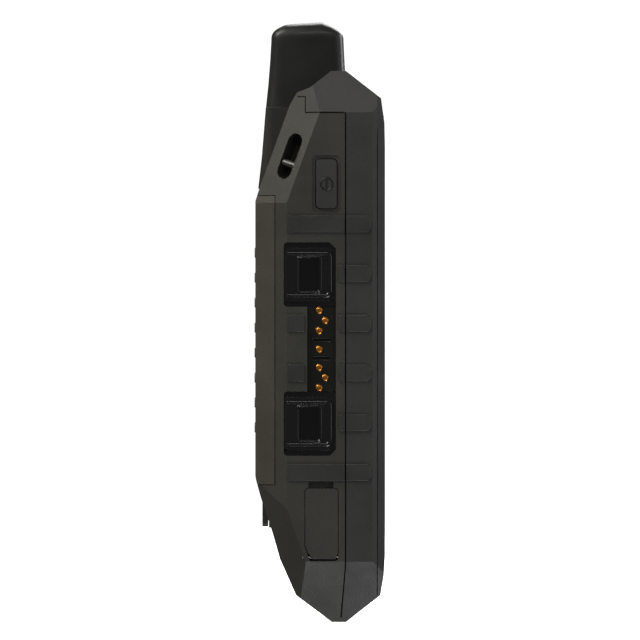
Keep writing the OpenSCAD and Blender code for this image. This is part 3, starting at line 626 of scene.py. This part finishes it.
@dataclass
class Housing:
    """The two shells, the seal between them, the screws and the side pads.

    Attributes:
        body: CAD body the pieces ride on.
        edge_mm: round of the moulded edges.
        pad_edge_mm: round of the side pads.
        groove: half width of the groove between the shells.
        rib_line: half width of the line along the bezel.
        knee: height at which the joint bends towards the foot.
        bend: how far back the joint runs at the foot.
        cap: height of the cap's lower edge, and the depth to which it runs.
        cap_top: top of the joint behind the cap, and the depth to which it runs.
        bezel_heights: foot, bend and top of the line along the bezel.
    """

    body: str = "unit"
    edge_mm: float = 0.7
    pad_edge_mm: float = 0.2
    groove: float = 0.22 * MM
    rib_line: float = 0.13 * MM
    knee: float = 17.0 * MM
    bend: float = 1.3 * MM
    cap: tuple[float, float] = (150.0 * MM, 4.1 * MM)
    cap_top: tuple[float, float] = (154.7 * MM, 6.4 * MM)
    bezel_heights: tuple[float, ...] = (8.0 * MM, 20.0 * MM, 152.0 * MM)

    def build(self) -> None:
        """Softens the shells and dresses them."""
        stand_in("front_housing", FRONT_SHELL, self.body, self.edge_mm, 4)
        stand_in("rear_housing", REAR_SHELL, self.body, self.edge_mm, 4)
        stand_in("front_bezel", BEZEL, self.body, 0.45, 4)
        stand_in("side_grips", GRIP_RUBBER, self.body, self.pad_edge_mm, 3)
        stand_in("housing_seal", SEAL_RUBBER, self.body, 0.0)
        stand_in("housing_screws", STEEL, self.body, 0.15, 2)
        stand_in("lanyard_bar", DARK_METAL, self.body, 0.0)
        self._seams()

    def _seams(self) -> None:
        """Draws the joint between the two shells and the bezel's edge, as dark lines that lie on both sides.

        The joint goes up from the foot, back along the cap's lower edge and up behind the cap. Each point of
        a line is carried in from outside, along X, to the shells.
        """
        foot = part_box("housing_seal")[0].z + 0.6 * MM
        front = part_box("rear_housing")[0].y
        cap_height, cap_depth = self.cap
        top_height, top_depth = self.cap_top
        corners = np.array([[front + self.bend, foot], [front, self.knee], [front, self.knee + 1.05 * MM],
                            [front, cap_height], [cap_depth, cap_height], [cap_depth, top_height],
                            [top_depth, top_height]])
        joint = densify(corners, False, 14)
        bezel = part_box("front_housing")[0].y
        rib = densify(np.array([[bezel, height] for height in self.bezel_heights]), False, 14)
        for side, word in ((-1, "left"), (1, "right")):
            points = on_surface(joint, side, ("front_housing", "rear_housing"))
            groove = tube(f"shell_joint_{word}", points, self.groove, 6, flat=0.25, up=(1.0, 0.0, 0.0))
            add_piece(groove, SLOT_BLACK, self.body)
            edge = on_surface(rib, side, ("front_housing", "front_bezel"))
            seam = tube(f"bezel_joint_{word}", edge, self.rib_line, 6, flat=0.3, up=(1.0, 0.0, 0.0))
            add_piece(seam, SLOT_BLACK, self.body)


def on_surface(line: np.ndarray, side: int, nodes: Sequence[str]) -> np.ndarray:
    """Returns a (depth, height) line carried onto the outermost surface of some nodes, on side -1 or 1.

    Args:
        line: array of shape (points, 2).
        side: -1 for the left side, 1 for the right.
        nodes: CAD nodes that may be met.

    Returns:
        The points that met a node, as an array of shape (points, 3).
    """
    trees = []
    for node in nodes:
        work = bmesh.new()
        work.from_mesh(bpy.data.objects[node].data)
        trees.append(BVHTree.FromBMesh(work))
        work.free()
    met = []
    for depth, height in line:
        start = Vector((side * FAR_OUT, depth, height))
        hits = [tree.ray_cast(start, Vector((-side, 0, 0)))[0] for tree in trees]
        outer = [abs(hit.x) for hit in hits if hit is not None]
        if outer:
            met.append((side * max(outer), depth, height))
    return np.array(met)


@dataclass
class PowerKey:
    """The power key on the left side, with its mark.

    Attributes:
        body: CAD body of the key.
        ring: radius of the mark's ring.
        bar_half: half length of the mark's bar.
        stroke: half width of the mark's line.
        proud: how far the middle of the line stands out of the key.
    """

    body: str = "power_key"
    ring: float = 1.75 * MM
    bar_half: float = 1.15 * MM
    stroke: float = 0.2 * MM
    proud: float = 0.02 * MM

    def build(self) -> None:
        """Softens the key and draws the generic power mark on it."""
        low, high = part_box("power_key")
        stand_in("power_key", KEY_RUBBER, self.body, 0.35, 4)
        centre = np.array([low.x - self.proud, (low.y + high.y) / 2, (low.z + high.z) / 2])
        turn = np.linspace(0, 2 * math.pi, 64, endpoint=False)
        loop = centre + self.ring * np.stack([0 * turn, np.cos(turn), np.sin(turn)], axis=1)
        ring = tube("power_mark_ring", loop, self.stroke, closed=True, flat=0.9, up=(1.0, 0.0, 0.0))
        bar_height = np.linspace(-1.0, 1.0, 9)[:, None] * self.bar_half
        bar = tube("power_mark_bar", centre + bar_height * np.array([[0.0, 0.0, 1.0]]), self.stroke,
                   flat=0.9, up=(1.0, 0.0, 0.0))
        for mesh in (ring, bar):
            add_piece(mesh, MARK_DARK, self.body)


# ---------------------------------------------------------------- side interface


@dataclass
class SideInterface:
    """The two latch sockets with glossy frames and the contact strip between them.

    Attributes:
        body: CAD body the pieces ride on.
        marks: centres of the contacts, as depth and height from the strip's middle, in mm.
        contact_radius: radius of one domed contact.
        contact_rise: height of its dome above the strip.
        collar: radius and half thickness of the moulded collar round a contact.
        slot_offset: distance of the strip's two slots from the middle contact.
        slot_size: width and height of the rim round a slot.
        slot_rim: half thickness of that rim.
        mouth_depth: depth of the middle of a latch pocket's mouth.
        mouth_size: width and height of the lip round the mouth.
        mouth_lip: half width of that lip.
        rail: half width of the rail round the mouth.
        rail_ends: depths at which the rail's arms start and turn, in mm.
        rail_corner: depth and height of the middle of the rail's corner, in mm.
        rail_round: radius of that corner, in mm.
    """

    body: str = "unit"
    marks: Sequence[tuple[float, float]] = ((0.12, 0.0), (0.12, 5.4), (0.12, -5.4), (-1.65, 8.4),
                                            (-1.65, -8.4), (0.12, 11.4), (0.12, -11.4))
    contact_radius: float = 0.93 * MM
    contact_rise: float = 0.3 * MM
    collar: tuple[float, float] = (1.2 * MM, 0.14 * MM)
    slot_offset: float = 2.7 * MM
    slot_size: tuple[float, float] = (5.2 * MM, 0.95 * MM)
    slot_rim: float = 0.13 * MM
    mouth_depth: float = 3.05 * MM
    mouth_size: tuple[float, float] = (6.9 * MM, 10.6 * MM)
    mouth_lip: float = 0.34 * MM
    rail: float = 0.62 * MM
    rail_ends: tuple[float, float] = (9.6, -1.6)
    rail_corner: tuple[float, float] = (-1.9, 5.0)
    rail_round: float = 1.2

    def build(self) -> None:
        """Softens the sockets and the strip and adds the contacts, slots and lips."""
        for node in ("upper_socket", "lower_socket"):
            stand_in(node, GLOSS_BLACK, self.body, 0.45, 5)
            self._socket_lips(node)
        stand_in("contact_strip", STRIP_BLACK, self.body, 0.15, 2)
        stand_in("side_contacts", GOLD, self.body, 0.1, 3)
        low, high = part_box("contact_strip")
        middle = (low.z + high.z) / 2
        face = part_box("side_contacts")[0].x
        for number, (depth, height) in enumerate(self.marks):
            centre = (face, depth * MM, middle + height * MM)
            self._contact(f"contact_dome_{number}", centre)
            self._ring(f"contact_ring_{number}", (low.x, centre[1], centre[2]))
        for name, side in (("strip_slot_upper", 1), ("strip_slot_lower", -1)):
            self._slot(name, low.x, (low.y + high.y) / 2, middle + side * self.slot_offset)

    def _contact(self, name: str, centre: Point) -> None:
        """Domed contact: radius r cos a, height h sin a, with a small dimple worn at its crown.

        Args:
            name: name of the piece.
            centre: foot of the dome.
        """
        turn = np.linspace(0, math.pi / 2, 9)
        profile = np.stack([self.contact_radius * np.cos(turn), self.contact_rise * np.sin(turn)], axis=1)
        profile[-1] = (0.02 * MM, profile[-2, 1] * 0.94)
        dome = lathe(name, centre, (-1.0, 0.0, 0.0), profile, 28)
        add_piece(dome, GOLD, self.body)

    def _ring(self, name: str, centre: Point) -> None:
        """Moulded collar round a contact: a round bar bent to a circle.

        Args:
            name: name of the piece.
            centre: middle of the collar.
        """
        radius, half = self.collar
        turn = np.linspace(0, 2 * math.pi, 36, endpoint=False)
        loop = np.array(centre) + radius * np.stack([0 * turn, np.cos(turn), np.sin(turn)], axis=1)
        collar = tube(name, loop, half, 8, closed=True, up=(1.0, 0.0, 0.0))
        add_piece(collar, STRIP_BLACK, self.body)

    def _slot(self, name: str, face: float, depth: float, height: float) -> None:
        """A raised rim along a slot across the strip, with a matt black plate inside it: painted shade,
        standing in for the dark depth of the slot.

        Args:
            name: start of both pieces' names.
            face: X of the strip's face.
            depth: depth of the slot's middle.
            height: height of the slot's middle.
        """
        place = Place((face, depth, height), (0.0, -1.0, 0.0), (0.0, 0.0, 1.0))
        width, tall = self.slot_size
        outline = rounded_outline(width, tall, 0.3 * MM, 5)
        rim = tube(f"{name}_rim", place.points(outline, 0.02 * MM), self.slot_rim, 8, closed=True,
                   up=(1.0, 0.0, 0.0))
        inner = rounded_outline(width - 0.2 * MM, tall - 0.15 * MM, 0.25 * MM, 5)
        # Painted shade: a near-black plate on the strip's face stands in for the shadow inside the slot.
        floor = plate(f"{name}_floor", place, inner, -0.05 * MM, 0.03 * MM, 0.02 * MM)
        add_piece(rim, STRIP_BLACK, self.body)
        add_piece(floor, SLOT_BLACK, self.body)

    def _socket_lips(self, node: str) -> None:
        """Rounded lips: one round the latch pocket's mouth, and a rail in the shape of a C round it.

        Args:
            node: CAD node of the socket.
        """
        low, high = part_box(node)
        middle = (low.z + high.z) / 2
        face = low.x
        mouth = Place((face, self.mouth_depth, middle), (0.0, -1.0, 0.0), (0.0, 0.0, 1.0))
        outline = rounded_outline(*self.mouth_size, 0.9 * MM, 7)
        lip = tube(f"{node}_mouth_lip", mouth.points(outline), self.mouth_lip, 12, closed=True, flat=0.6,
                   up=(1.0, 0.0, 0.0))
        add_piece(lip, GLOSS_BLACK, self.body)
        turn = np.linspace(math.pi / 2, 0, 7)
        (corner_depth, corner_height), radius = self.rail_corner, self.rail_round
        arc = np.stack([corner_depth - radius * np.cos(turn), corner_height + radius * np.sin(turn)], axis=1)
        arm = np.stack([np.linspace(*self.rail_ends, 12), np.full(12, corner_height + radius)], axis=1)
        web = corner_depth - radius
        upper = np.vstack([arm, arc, [[web, 3.4], [web, 1.7]]])
        rail = np.vstack([upper, (upper * np.array([1.0, -1.0]))[::-1]]) * MM
        path = np.stack([0 * rail[:, 0] + face + 0.06 * MM, rail[:, 0], middle + rail[:, 1]], axis=1)
        bar = tube(f"{node}_rail", path, self.rail, 14, flat=0.62, up=(1.0, 0.0, 0.0))
        add_piece(bar, GLOSS_BLACK, self.body)


@dataclass
class PortCover:
    """The soft cover over the data socket, its pin and the socket behind it.

    Attributes:
        body: body of the cover.
        root: body of the fixed pieces.
    """

    body: str = "usb_cover"
    root: str = "unit"

    def build(self) -> None:
        """Softens the cover and dresses the socket."""
        stand_in("usb_cover", COVER_RUBBER, self.body, 0.35, 4)
        stand_in("usb_cover_pin", STEEL, self.root, 0.0)
        stand_in("usb_receptacle", STEEL, self.root, 0.1, 2)


@dataclass
class EmergencyKey:
    """The guarded key on the right side with its flap.

    Attributes:
        key_body: body of the key.
        flap_body: body of the flap.
        root: body of the fixed pieces.
    """

    key_body: str = "emergency_key"
    flap_body: str = "emergency_flap"
    root: str = "unit"

    def build(self) -> None:
        """Softens the key, its switch and its flap."""
        stand_in("emergency_key", ORANGE, self.key_body, 0.3, 3)
        stand_in("emergency_flap", COVER_RUBBER, self.flap_body, 0.35, 4)
        stand_in("emergency_flap_pin", STEEL, self.root, 0.0)
        stand_in("emergency_switch", TIN, self.root, 0.1, 2)


@dataclass
class Antenna:
    """The stub antenna: radome, its base on the back of the top, and the element inside.

    Attributes:
        body: CAD body the pieces ride on.
        outline: the radome's front and back edges, as (height below the tip, front depth, back depth) in mm.
        top_line: the sloping top, as (depth, height below the tip) in mm.
        fullness: exponent of the cross-section, 2 for an ellipse and more for a squarer one.
        crown_fullness: exponent of the round between the sides and the top.
    """

    body: str = "unit"
    outline: Sequence[Point] = ((25.6, -8.0, 16.0), (19.0, -7.9, 15.3), (12.0, -7.5, 14.75),
                                (6.0, -7.2, 14.4))
    top_line: Sequence[tuple[float, float]] = ((-7.2, 2.1), (-6.0, 1.7), (-1.0, 0.05), (10.1, 0.7),
                                               (14.4, 1.7))
    fullness: float = 7.0
    crown_fullness: float = 3.6

    def build(self) -> None:
        """Builds the radome's shell and softens its base."""
        self._radome()
        stand_in("antenna_base", ANTENNA_FOOT, self.body, 0.8, 4, 24.0)
        stand_in("antenna_element", CERAMIC, self.body, 0.2, 2)

    def _radome(self) -> None:
        """The radome as a loft.

        At each height the section is the curve |x / a| ^ n + |y / b| ^ n = 1, with a the half width, b half
        the distance between the front and back edges and n the fullness. Over the last stretch the section
        shrinks by cos(t) ^ (2 / m) while each point rises by sin(t) ^ (2 / m) of the way to the sloping top,
        with m the crown's fullness.
        """
        low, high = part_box("antenna_radome")
        rows = np.array(self.outline) * MM
        sides = np.linspace(rows[0, 0], rows[-1, 0], 40)
        front = np.interp(-sides, -rows[:, 0], rows[:, 1])
        back = np.interp(-sides, -rows[:, 0], rows[:, 2])
        angle = np.linspace(0, 2 * math.pi, 120, endpoint=False)
        cos, sin = np.cos(angle), np.sin(angle)
        section_x = np.sign(cos) * np.abs(cos) ** (2 / self.fullness)
        section_y = np.sign(sin) * np.abs(sin) ** (2 / self.fullness)
        half = (high.x - low.x) / 2
        middle_x = (low.x + high.x) / 2
        body = np.stack([middle_x + half * section_x[None] + 0 * front[:, None],
                         (front + back)[:, None] / 2 + (back - front)[:, None] / 2 * section_y[None],
                         high.z - sides[:, None] + 0 * angle[None]], axis=-1)
        turn = np.linspace(0, math.pi / 2, 22)[1:-1]
        shrink = np.cos(turn) ** (2 / self.crown_fullness)
        rise = np.sin(turn) ** (2 / self.crown_fullness)
        centre = np.array([middle_x, (front[-1] + back[-1]) / 2])
        crown_xy = centre + shrink[:, None, None] * (body[-1, :, :2] - centre)[None]
        top = np.array(self.top_line) * MM
        ceiling = high.z - np.interp(crown_xy[..., 1], top[:, 0], top[:, 1])
        crown_z = body[-1, :, 2][None] + rise[:, None] * (ceiling - body[-1, :, 2][None])
        points = np.concatenate([body, np.concatenate([crown_xy, crown_z[..., None]], axis=-1)])
        mesh = grid_mesh("antenna_radome_shell", points, close_v=True, caps=True)
        face_outward(mesh)
        smooth_by_angle(mesh, 45)
        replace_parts(add_piece(mesh, ANTENNA_SHELL, self.body), "antenna_radome")


@dataclass
class DoorAndLatch:
    """The battery door with its grip bars, and the folding ring on its turning latch.

    Attributes:
        door: body of the door.
        knob: body of the latch knob.
        ring: body of the folding ring.
        bars: number of grip bars.
        bar_height: height of one bar.
        bar_pitch: height from one bar to the next.
        bar_half: half width of the middle bars.
        bar_taper: how much shorter each end of the outermost bars is.
        bar_proud: how far a bar stands out of the door.
        lowest_bar: height of the lowest bar's middle.
    """

    door: str = "battery_door"
    knob: str = "latch_knob"
    ring: str = "latch_ring"
    bars: int = 8
    bar_height: float = 3.0 * MM
    bar_pitch: float = 7.4 * MM
    bar_half: float = 14.0 * MM
    bar_taper: float = 4.0 * MM
    bar_proud: float = 0.35 * MM
    lowest_bar: float = 57.15 * MM

    def build(self) -> None:
        """Softens the door and the latch and adds the bars."""
        door = stand_in("battery_door", DOOR_SHELL, self.door, 0.35, 4, change=clear_back_bars)
        self._bars()
        stand_in("latch_knob", DARK_METAL, self.knob, 0.25, 3)
        stand_in("latch_ring_pin", STEEL, self.knob, 0.0)
        stand_in("latch_ring", DARK_METAL, self.ring, 0.45, 5)

    def _bars(self) -> None:
        """Raised bars with round corners, shorter by the square of their distance from the middle."""
        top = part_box("battery_door")[1].y
        for number in range(self.bars):
            away = 2 * number / (self.bars - 1) - 1
            half = self.bar_half - self.bar_taper * away ** 2
            place = Place((0.0, top - self.bar_proud, self.lowest_bar + number * self.bar_pitch),
                          (-1.0, 0.0, 0.0), (0.0, 0.0, 1.0))
            outline = rounded_outline(2 * half, self.bar_height, 0.9 * MM, 6)
            bar = plate(f"grip_bar_{number}", place, outline, -0.1 * MM, self.bar_proud, 0.25 * MM)
            # The bars' pale grey is partly painted highlight along their raised edges.
            add_piece(bar, BAR_GREY, self.door)


# ---------------------------------------------------------------- front


FRONT_RIGHT: Point = (1.0, 0.0, 0.0)
UP: Point = (0.0, 0.0, 1.0)


def front_place(x: float, depth: float, height: float) -> Place:
    """Returns a spot on the front face, whose outline reads from the front; its lift points to -Y."""
    return Place((x, depth, height), FRONT_RIGHT, UP)


def ring_plate(name: str, place: Place, outer: np.ndarray, inner: np.ndarray, lift: float) -> bpy.types.Mesh:
    """Returns a flat ring between two outlines with the same number of points: (1 - t) outer + t inner.

    Args:
        name: name of the mesh.
        place: where the ring lies.
        outer: outer outline.
        inner: inner outline.
        lift: distance off the place.

    Returns:
        The ring's mesh.
    """
    share = np.linspace(0, 1, 3)[:, None, None]
    flat = (1 - share) * outer[None] + share * inner[None]
    points = np.stack([place.points(row, lift) for row in flat])
    mesh = grid_mesh(name, points, close_v=True)
    face_outward(mesh)
    mesh.update()
    return mesh


@dataclass
class Screen:
    """The cover glass with its printed frame, over the display.

    Attributes:
        body: CAD body the pieces ride on.
        window: width and height of the clear window.
        corner: corner radius of the glass.
        margin: how much smaller than the glass the printed frame is.
        mask_lift: distance of the printed frame in front of the glass's back.
        gasket: half width of the gasket.
    """

    body: str = "unit"
    window: tuple[float, float] = (50.6 * MM, 83.0 * MM)
    corner: float = 3.0 * MM
    margin: float = 0.5 * MM
    mask_lift: float = 0.12 * MM
    gasket: float = 0.16 * MM

    def build(self) -> None:
        """Softens the glass and dresses the display behind it."""
        stand_in("screen_glass", GLASS, self.body, 0.4, 4)
        stand_in("display_module", DISPLAY, self.body, 0.15, 2)
        low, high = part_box("screen_glass")
        place = front_place((low.x + high.x) / 2, high.y, (low.z + high.z) / 2)
        size = (high.x - low.x - self.margin, high.z - low.z - self.margin)
        outer = rounded_outline(*size, self.corner - self.margin / 2, 10)
        inner = rounded_outline(*self.window, 0.8 * MM, 10)
        mask = ring_plate("screen_mask", place, outer, inner, self.mask_lift)
        add_piece(mask, MASK, self.body)
        rim = rounded_outline(size[0] + 0.55 * MM, size[1] + 0.55 * MM, self.corner, 10)
        seal = tube("screen_gasket", place.points(rim, 1.0 * MM), self.gasket, 8, closed=True,
                    up=(0.0, 1.0, 0.0))
        add_piece(seal, SEAL_RUBBER, self.body)
        self._speaker_mesh()

    def _speaker_mesh(self) -> None:
        """Woven mesh behind the speaker slots: depth = 0.08 mm cos(kx) cos(kz) over a flat sheet."""
        low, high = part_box("speaker")
        x = np.linspace(low.x, high.x, 121)
        z = np.linspace(high.z - 2.6 * MM, high.z - 0.1 * MM, 16)
        gx, gz = np.meshgrid(x, z)
        wave = 2 * math.pi / (0.66 * MM)
        y = low.y - 0.12 * MM + 0.08 * MM * np.cos(wave * gx) * np.cos(wave * gz)
        mesh = grid_mesh("speaker_mesh", np.stack([gx, y, gz], axis=-1))
        mesh.shade_smooth()
        add_piece(mesh, STEEL, self.body)


@dataclass
class Keypad:
    """Four menu keys with plain symbols, the direction pad with its arrows, and the enter key.

    Attributes:
        body: body of the fixed pieces.
        stroke: half width of a symbol's line.
        enter_ring: radius of the enter key's symbol.
        enter_sink: how far that symbol is let into its key.
        arrow: half width, foot and tip of an arrow on the direction pad.
    """

    body: str = "unit"
    stroke: float = 0.17 * MM
    enter_ring: float = 1.5 * MM
    enter_sink: float = 0.05 * MM
    arrow: tuple[float, float, float] = (1.0 * MM, 7.4 * MM, 8.9 * MM)

    def build(self) -> None:
        """Softens every key and draws its symbol."""
        symbols: dict[str, Callable[[], list[tuple[np.ndarray, bool]]]] = {
            "key_page": self._pages, "key_mark": self._flag, "key_back": self._back_arrow,
            "key_menu": self._menu_lines}
        for node, draw in symbols.items():
            stand_in(node, KEY_RUBBER, node, 0.55, 5)
            low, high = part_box(node)
            place = front_place((low.x + high.x) / 2, low.y, (low.z + high.z) / 2)
            for number, (line, closed) in enumerate(draw()):
                self._stroke(f"{node}_symbol_{number}", place, line, closed, node)
        stand_in("direction_pad", KEY_RUBBER, "direction_pad", 0.7, 6)
        stand_in("enter_key", KEY_RUBBER, "enter_key", 0.6, 6)
        stand_in("pad_rocker", STEEL, "pad_rocker", 0.0)
        stand_in("keypad_mat", SEAL_RUBBER, self.body, 0.0)
        self._arrows()
        low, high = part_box("enter_key")
        centre = front_place((low.x + high.x) / 2, low.y + self.enter_sink, (low.z + high.z) / 2)
        turn = np.linspace(0, 2 * math.pi, 40, endpoint=False)
        ring = self.enter_ring * np.stack([np.cos(turn), np.sin(turn)], axis=1)
        self._stroke("enter_symbol", centre, ring, True, "enter_key")

    def _stroke(self, name: str, place: Place, line: np.ndarray, closed: bool, body: str) -> None:
        """Lays one line of a symbol on a key as a thin raised bar.

        Args:
            name: name of the piece.
            place: where the symbol lies.
            line: array of shape (points, 2).
            closed: the line is a loop.
            body: body of the key.
        """
        fine = line if closed and len(line) > 20 else densify(line, closed)
        bar = tube(name, place.points(fine), self.stroke, 8, closed=closed, flat=0.45,
                   up=(0.0, 1.0, 0.0))
        add_piece(bar, LEGEND, body)

    def _arrows(self) -> None:
        """Four small triangles on the direction pad, each turned a quarter further."""
        low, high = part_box("direction_pad")
        place = front_place((low.x + high.x) / 2, low.y, (low.z + high.z) / 2)
        half, foot, tip = self.arrow
        triangle = np.array([[-half, foot], [half, foot], [0.0, tip]])
        for number, word in enumerate(("up", "left", "down", "right")):
            c, s = math.cos(number * math.pi / 2), math.sin(number * math.pi / 2)
            turned = triangle @ np.array([[c, s], [-s, c]])
            self._stroke(f"pad_arrow_{word}", place, turned, True, "direction_pad")

    @staticmethod
    def _pages() -> list[tuple[np.ndarray, bool]]:
        """Two sheets, one behind the other.

        Returns:
            The lines, each with whether it is a loop.
        """
        sheet = rounded_outline(2.6 * MM, 3.2 * MM, 0.3 * MM, 4)
        corner = np.array([[-0.3, 2.4], [2.1, 2.4], [2.1, -0.9]]) * MM
        return [(sheet + np.array([-0.5, -0.4]) * MM, True), (corner, False)]

    @staticmethod
    def _flag() -> list[tuple[np.ndarray, bool]]:
        """A flag on its pole.

        Returns:
            The lines, each with whether it is a loop.
        """
        pole = np.array([[-1.2, -2.0], [-1.2, 2.0]]) * MM
        cloth = np.array([[-1.2, 2.0], [1.6, 1.1], [-1.2, 0.2]]) * MM
        return [(pole, False), (cloth, False)]

    @staticmethod
    def _back_arrow() -> list[tuple[np.ndarray, bool]]:
        """An arrow that turns back: a half circle with a head.

        Returns:
            The lines, each with whether it is a loop.
        """
        turn = np.linspace(-math.pi / 2, math.pi / 2, 14)
        bend = np.stack([0.5 + 1.4 * np.cos(turn), 1.4 * np.sin(turn) - 0.1], axis=1)
        line = np.vstack([[[-1.4, -1.5]], bend, [[-1.7, 1.3]]]) * MM
        head = np.array([[-0.7, 2.3], [-1.8, 1.3], [-0.7, 0.3]]) * MM
        return [(line, False), (head, False)]

    @staticmethod
    def _menu_lines() -> list[tuple[np.ndarray, bool]]:
        """Three level lines."""
        return [(np.array([[-1.9, h], [1.9, h]]) * MM, False) for h in (1.3, 0.0, -1.3)]


def densify(line: np.ndarray, closed: bool, count: int = 6) -> np.ndarray:
    """Returns a line with count points along each stretch, p + t (q - p), so that corners stay crisp.

    Args:
        line: array of shape (points, 2).
        closed: the line is a loop.
        count: points along each stretch.

    Returns:
        The finer line, as an array of shape (points, 2).
    """
    ends = np.vstack([line[1:], line[:1]]) if closed else line[1:]
    starts = line if closed else line[:-1]
    share = np.linspace(0, 1, count, endpoint=False)[None, :, None]
    fine = (starts[:, None] + share * (ends - starts)[:, None]).reshape(-1, 2)
    return fine if closed else np.vstack([fine, line[-1:]])


@dataclass(frozen=True)
class Inner:
    """One inner node: its finish, the round of its edges and its record slot."""

    node: str
    finish: Finish
    round_mm: float
    slot: str


@dataclass
class Inside:
    """What shows when the door or a cover is open: boards, cans, battery, switches and seals."""

    body: str = "unit"
    inner: Sequence[Inner] = (
        Inner("chassis_plate", ALLOY, 0.1, "alloy"),
        Inner("main_board", BOARD, 0.1, "board"),
        Inner("satellite_module", TIN, 0.3, "tin_can"),
        Inner("speaker", TIN, 0.2, "tin_can"),
        Inner("power_switch", TIN, 0.1, "tin_can"),
        Inner("battery_pack", BATTERY, 1.2, "battery"),
        Inner("battery_contacts", GOLD, 0.1, "gold"),
        Inner("door_seal", SEAL_RUBBER, 0.0, "seal_rubber"),
        Inner("torch_lens", LENS, 0.2, "clear_lens"),
        Inner("torch_led", PHOSPHOR, 0.0, "led"),
    )

    def build(self) -> None:
        """Softens each inner node."""
        for part in self.inner:
            stand_in(part.node, part.finish, self.body, part.round_mm, 3)


# ---------------------------------------------------------------- studio


@dataclass
class Softbox:
    """One soft light: where it stands, its size, its power and its tint."""

    name: str
    place: Point
    size: tuple[float, float]
    power: float
    tint: Colour = (1.0, 1.0, 1.0)

    def build(self, aim: Vector) -> None:
        """Adds the light, turned to aim.

        Args:
            aim: point that the light is turned to.
        """
        lamp = bpy.data.lights.new(self.name, "AREA")
        lamp.shape = "RECTANGLE"
        lamp.size, lamp.size_y = self.size
        lamp.energy = self.power
        lamp.color = self.tint
        made = bpy.data.objects.new(self.name, lamp)
        made.location = self.place
        made.visible_camera = False
        made.rotation_euler = (aim - made.location).to_track_quat("-Z", "Y").to_euler()
        bpy.context.scene.collection.objects.link(made)


@dataclass
class Studio:
    """Pale floor and backdrop, soft lights and the camera.

    Attributes:
        aim: point that the camera looks at.
        near_side: X of the side that faces the camera.
        span: height of the view at the near side.
        lens_mm: focal length.
        room: strength of the even light from all round.
        sensor_mm: width of the camera's frame.
        lights: the soft lights.
    """

    aim: Point = (0.0, -0.15 * MM, 89.0 * MM)
    near_side: float = -36.5 * MM
    span: float = 188.0 * MM
    lens_mm: float = 600.0
    room: float = 0.10
    sensor_mm: float = 36.0
    lights: Sequence[Softbox] = (
        Softbox("top_back_light", (-0.4, 0.8, 1.1), (0.6, 0.8), 17.0, (1.0, 0.97, 0.86)),
        Softbox("low_front_light", (-0.5, -0.4, -0.95), (0.7, 0.5), 7.0),
        Softbox("front_side_light", (-0.7, -1.0, 0.4), (0.4, 0.9), 1.6),
        Softbox("high_strip", (-1.15, 0.1, 0.95), (0.9, 0.12), 1.8),
        Softbox("far_side_light", (1.1, -0.3, 0.7), (0.7, 0.7), 9.0),
        Softbox("screen_side_light", (0.5, -1.2, 0.5), (0.7, 0.7), 9.0),
    )

    def build(self) -> None:
        """Sets the world, floor, lights, camera and view transform."""
        scene = bpy.context.scene
        world = bpy.data.worlds.new("studio")
        world.use_nodes = True
        world.node_tree.nodes["Background"].inputs["Color"].default_value = (1.0, 1.0, 1.0, 1.0)
        world.node_tree.nodes["Background"].inputs["Strength"].default_value = self.room
        scene.world = world
        scene.view_settings.view_transform = "Standard"
        self._floor()
        aim = Vector(self.aim)
        for light in self.lights:
            light.build(aim)
        lens = bpy.data.cameras.new("camera")
        lens.lens = self.lens_mm
        lens.sensor_width = self.sensor_mm
        camera = bpy.data.objects.new("camera", lens)
        away = self.span * self.lens_mm / self.sensor_mm
        camera.location = (self.near_side - away, aim.y, aim.z)
        camera.rotation_euler = (aim - camera.location).to_track_quat("-Z", "Y").to_euler()
        scene.collection.objects.link(camera)
        scene.camera = camera

    def _floor(self) -> bpy.types.Object:
        """Returns a white floor that curves up all round: past the bend, z = bend (1 - cos a).

        The backdrop has its own light, as in a studio, and doesn't light the unit.

        Returns:
            The floor, as one object.
        """
        bend, flat, top = 0.8, 4.6, 3.4
        turn = np.linspace(0, math.pi / 2, 12)
        radius = np.concatenate([[0.00002, 0.3, 1.0, 2.0], flat + bend * np.sin(turn), [flat + bend]])
        height = np.concatenate([[0.0, 0.0, 0.0, 0.0], bend * (1 - np.cos(turn)), [top]])
        angle = np.linspace(0, 2 * math.pi, 72, endpoint=False)
        points = np.stack([radius[:, None] * np.cos(angle), radius[:, None] * np.sin(angle),
                           height[:, None] + 0 * angle], axis=-1)
        mesh = grid_mesh("floor", points, close_v=True)
        mesh.flip_normals()
        mesh.shade_smooth()
        pale = bpy.data.materials.new("pale_floor")
        pale.use_nodes = True
        shader = pale.node_tree.nodes["Principled BSDF"]
        shader.inputs["Base Color"].default_value = (0.8, 0.8, 0.8, 1.0)
        shader.inputs["Roughness"].default_value = 0.9
        shader.inputs["Emission Color"].default_value = (1.0, 1.0, 1.0, 1.0)
        shader.inputs["Emission Strength"].default_value = 1.0
        mesh.materials.append(pale)
        floor = bpy.data.objects.new("floor", mesh)
        floor.visible_diffuse = False
        floor.visible_glossy = False
        floor.visible_shadow = False
        bpy.context.scene.collection.objects.link(floor)
        return floor


def main() -> None:
    """Builds every sub-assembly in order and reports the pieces."""
    logging.basicConfig(level=logging.INFO, format="%(message)s")
    for assembly in (Housing(), PowerKey(), SideInterface(), PortCover(), EmergencyKey(), Antenna(),
                     DoorAndLatch(), Screen(), Keypad(), Inside(), Studio()):
        assembly.build()
        LOG.info("built %s", type(assembly).__name__)
    for piece in PARTS.made:
        LOG.info("piece %s: %d faces", piece.name, len(piece.data.polygons))


if __name__ == "__main__":
    main()
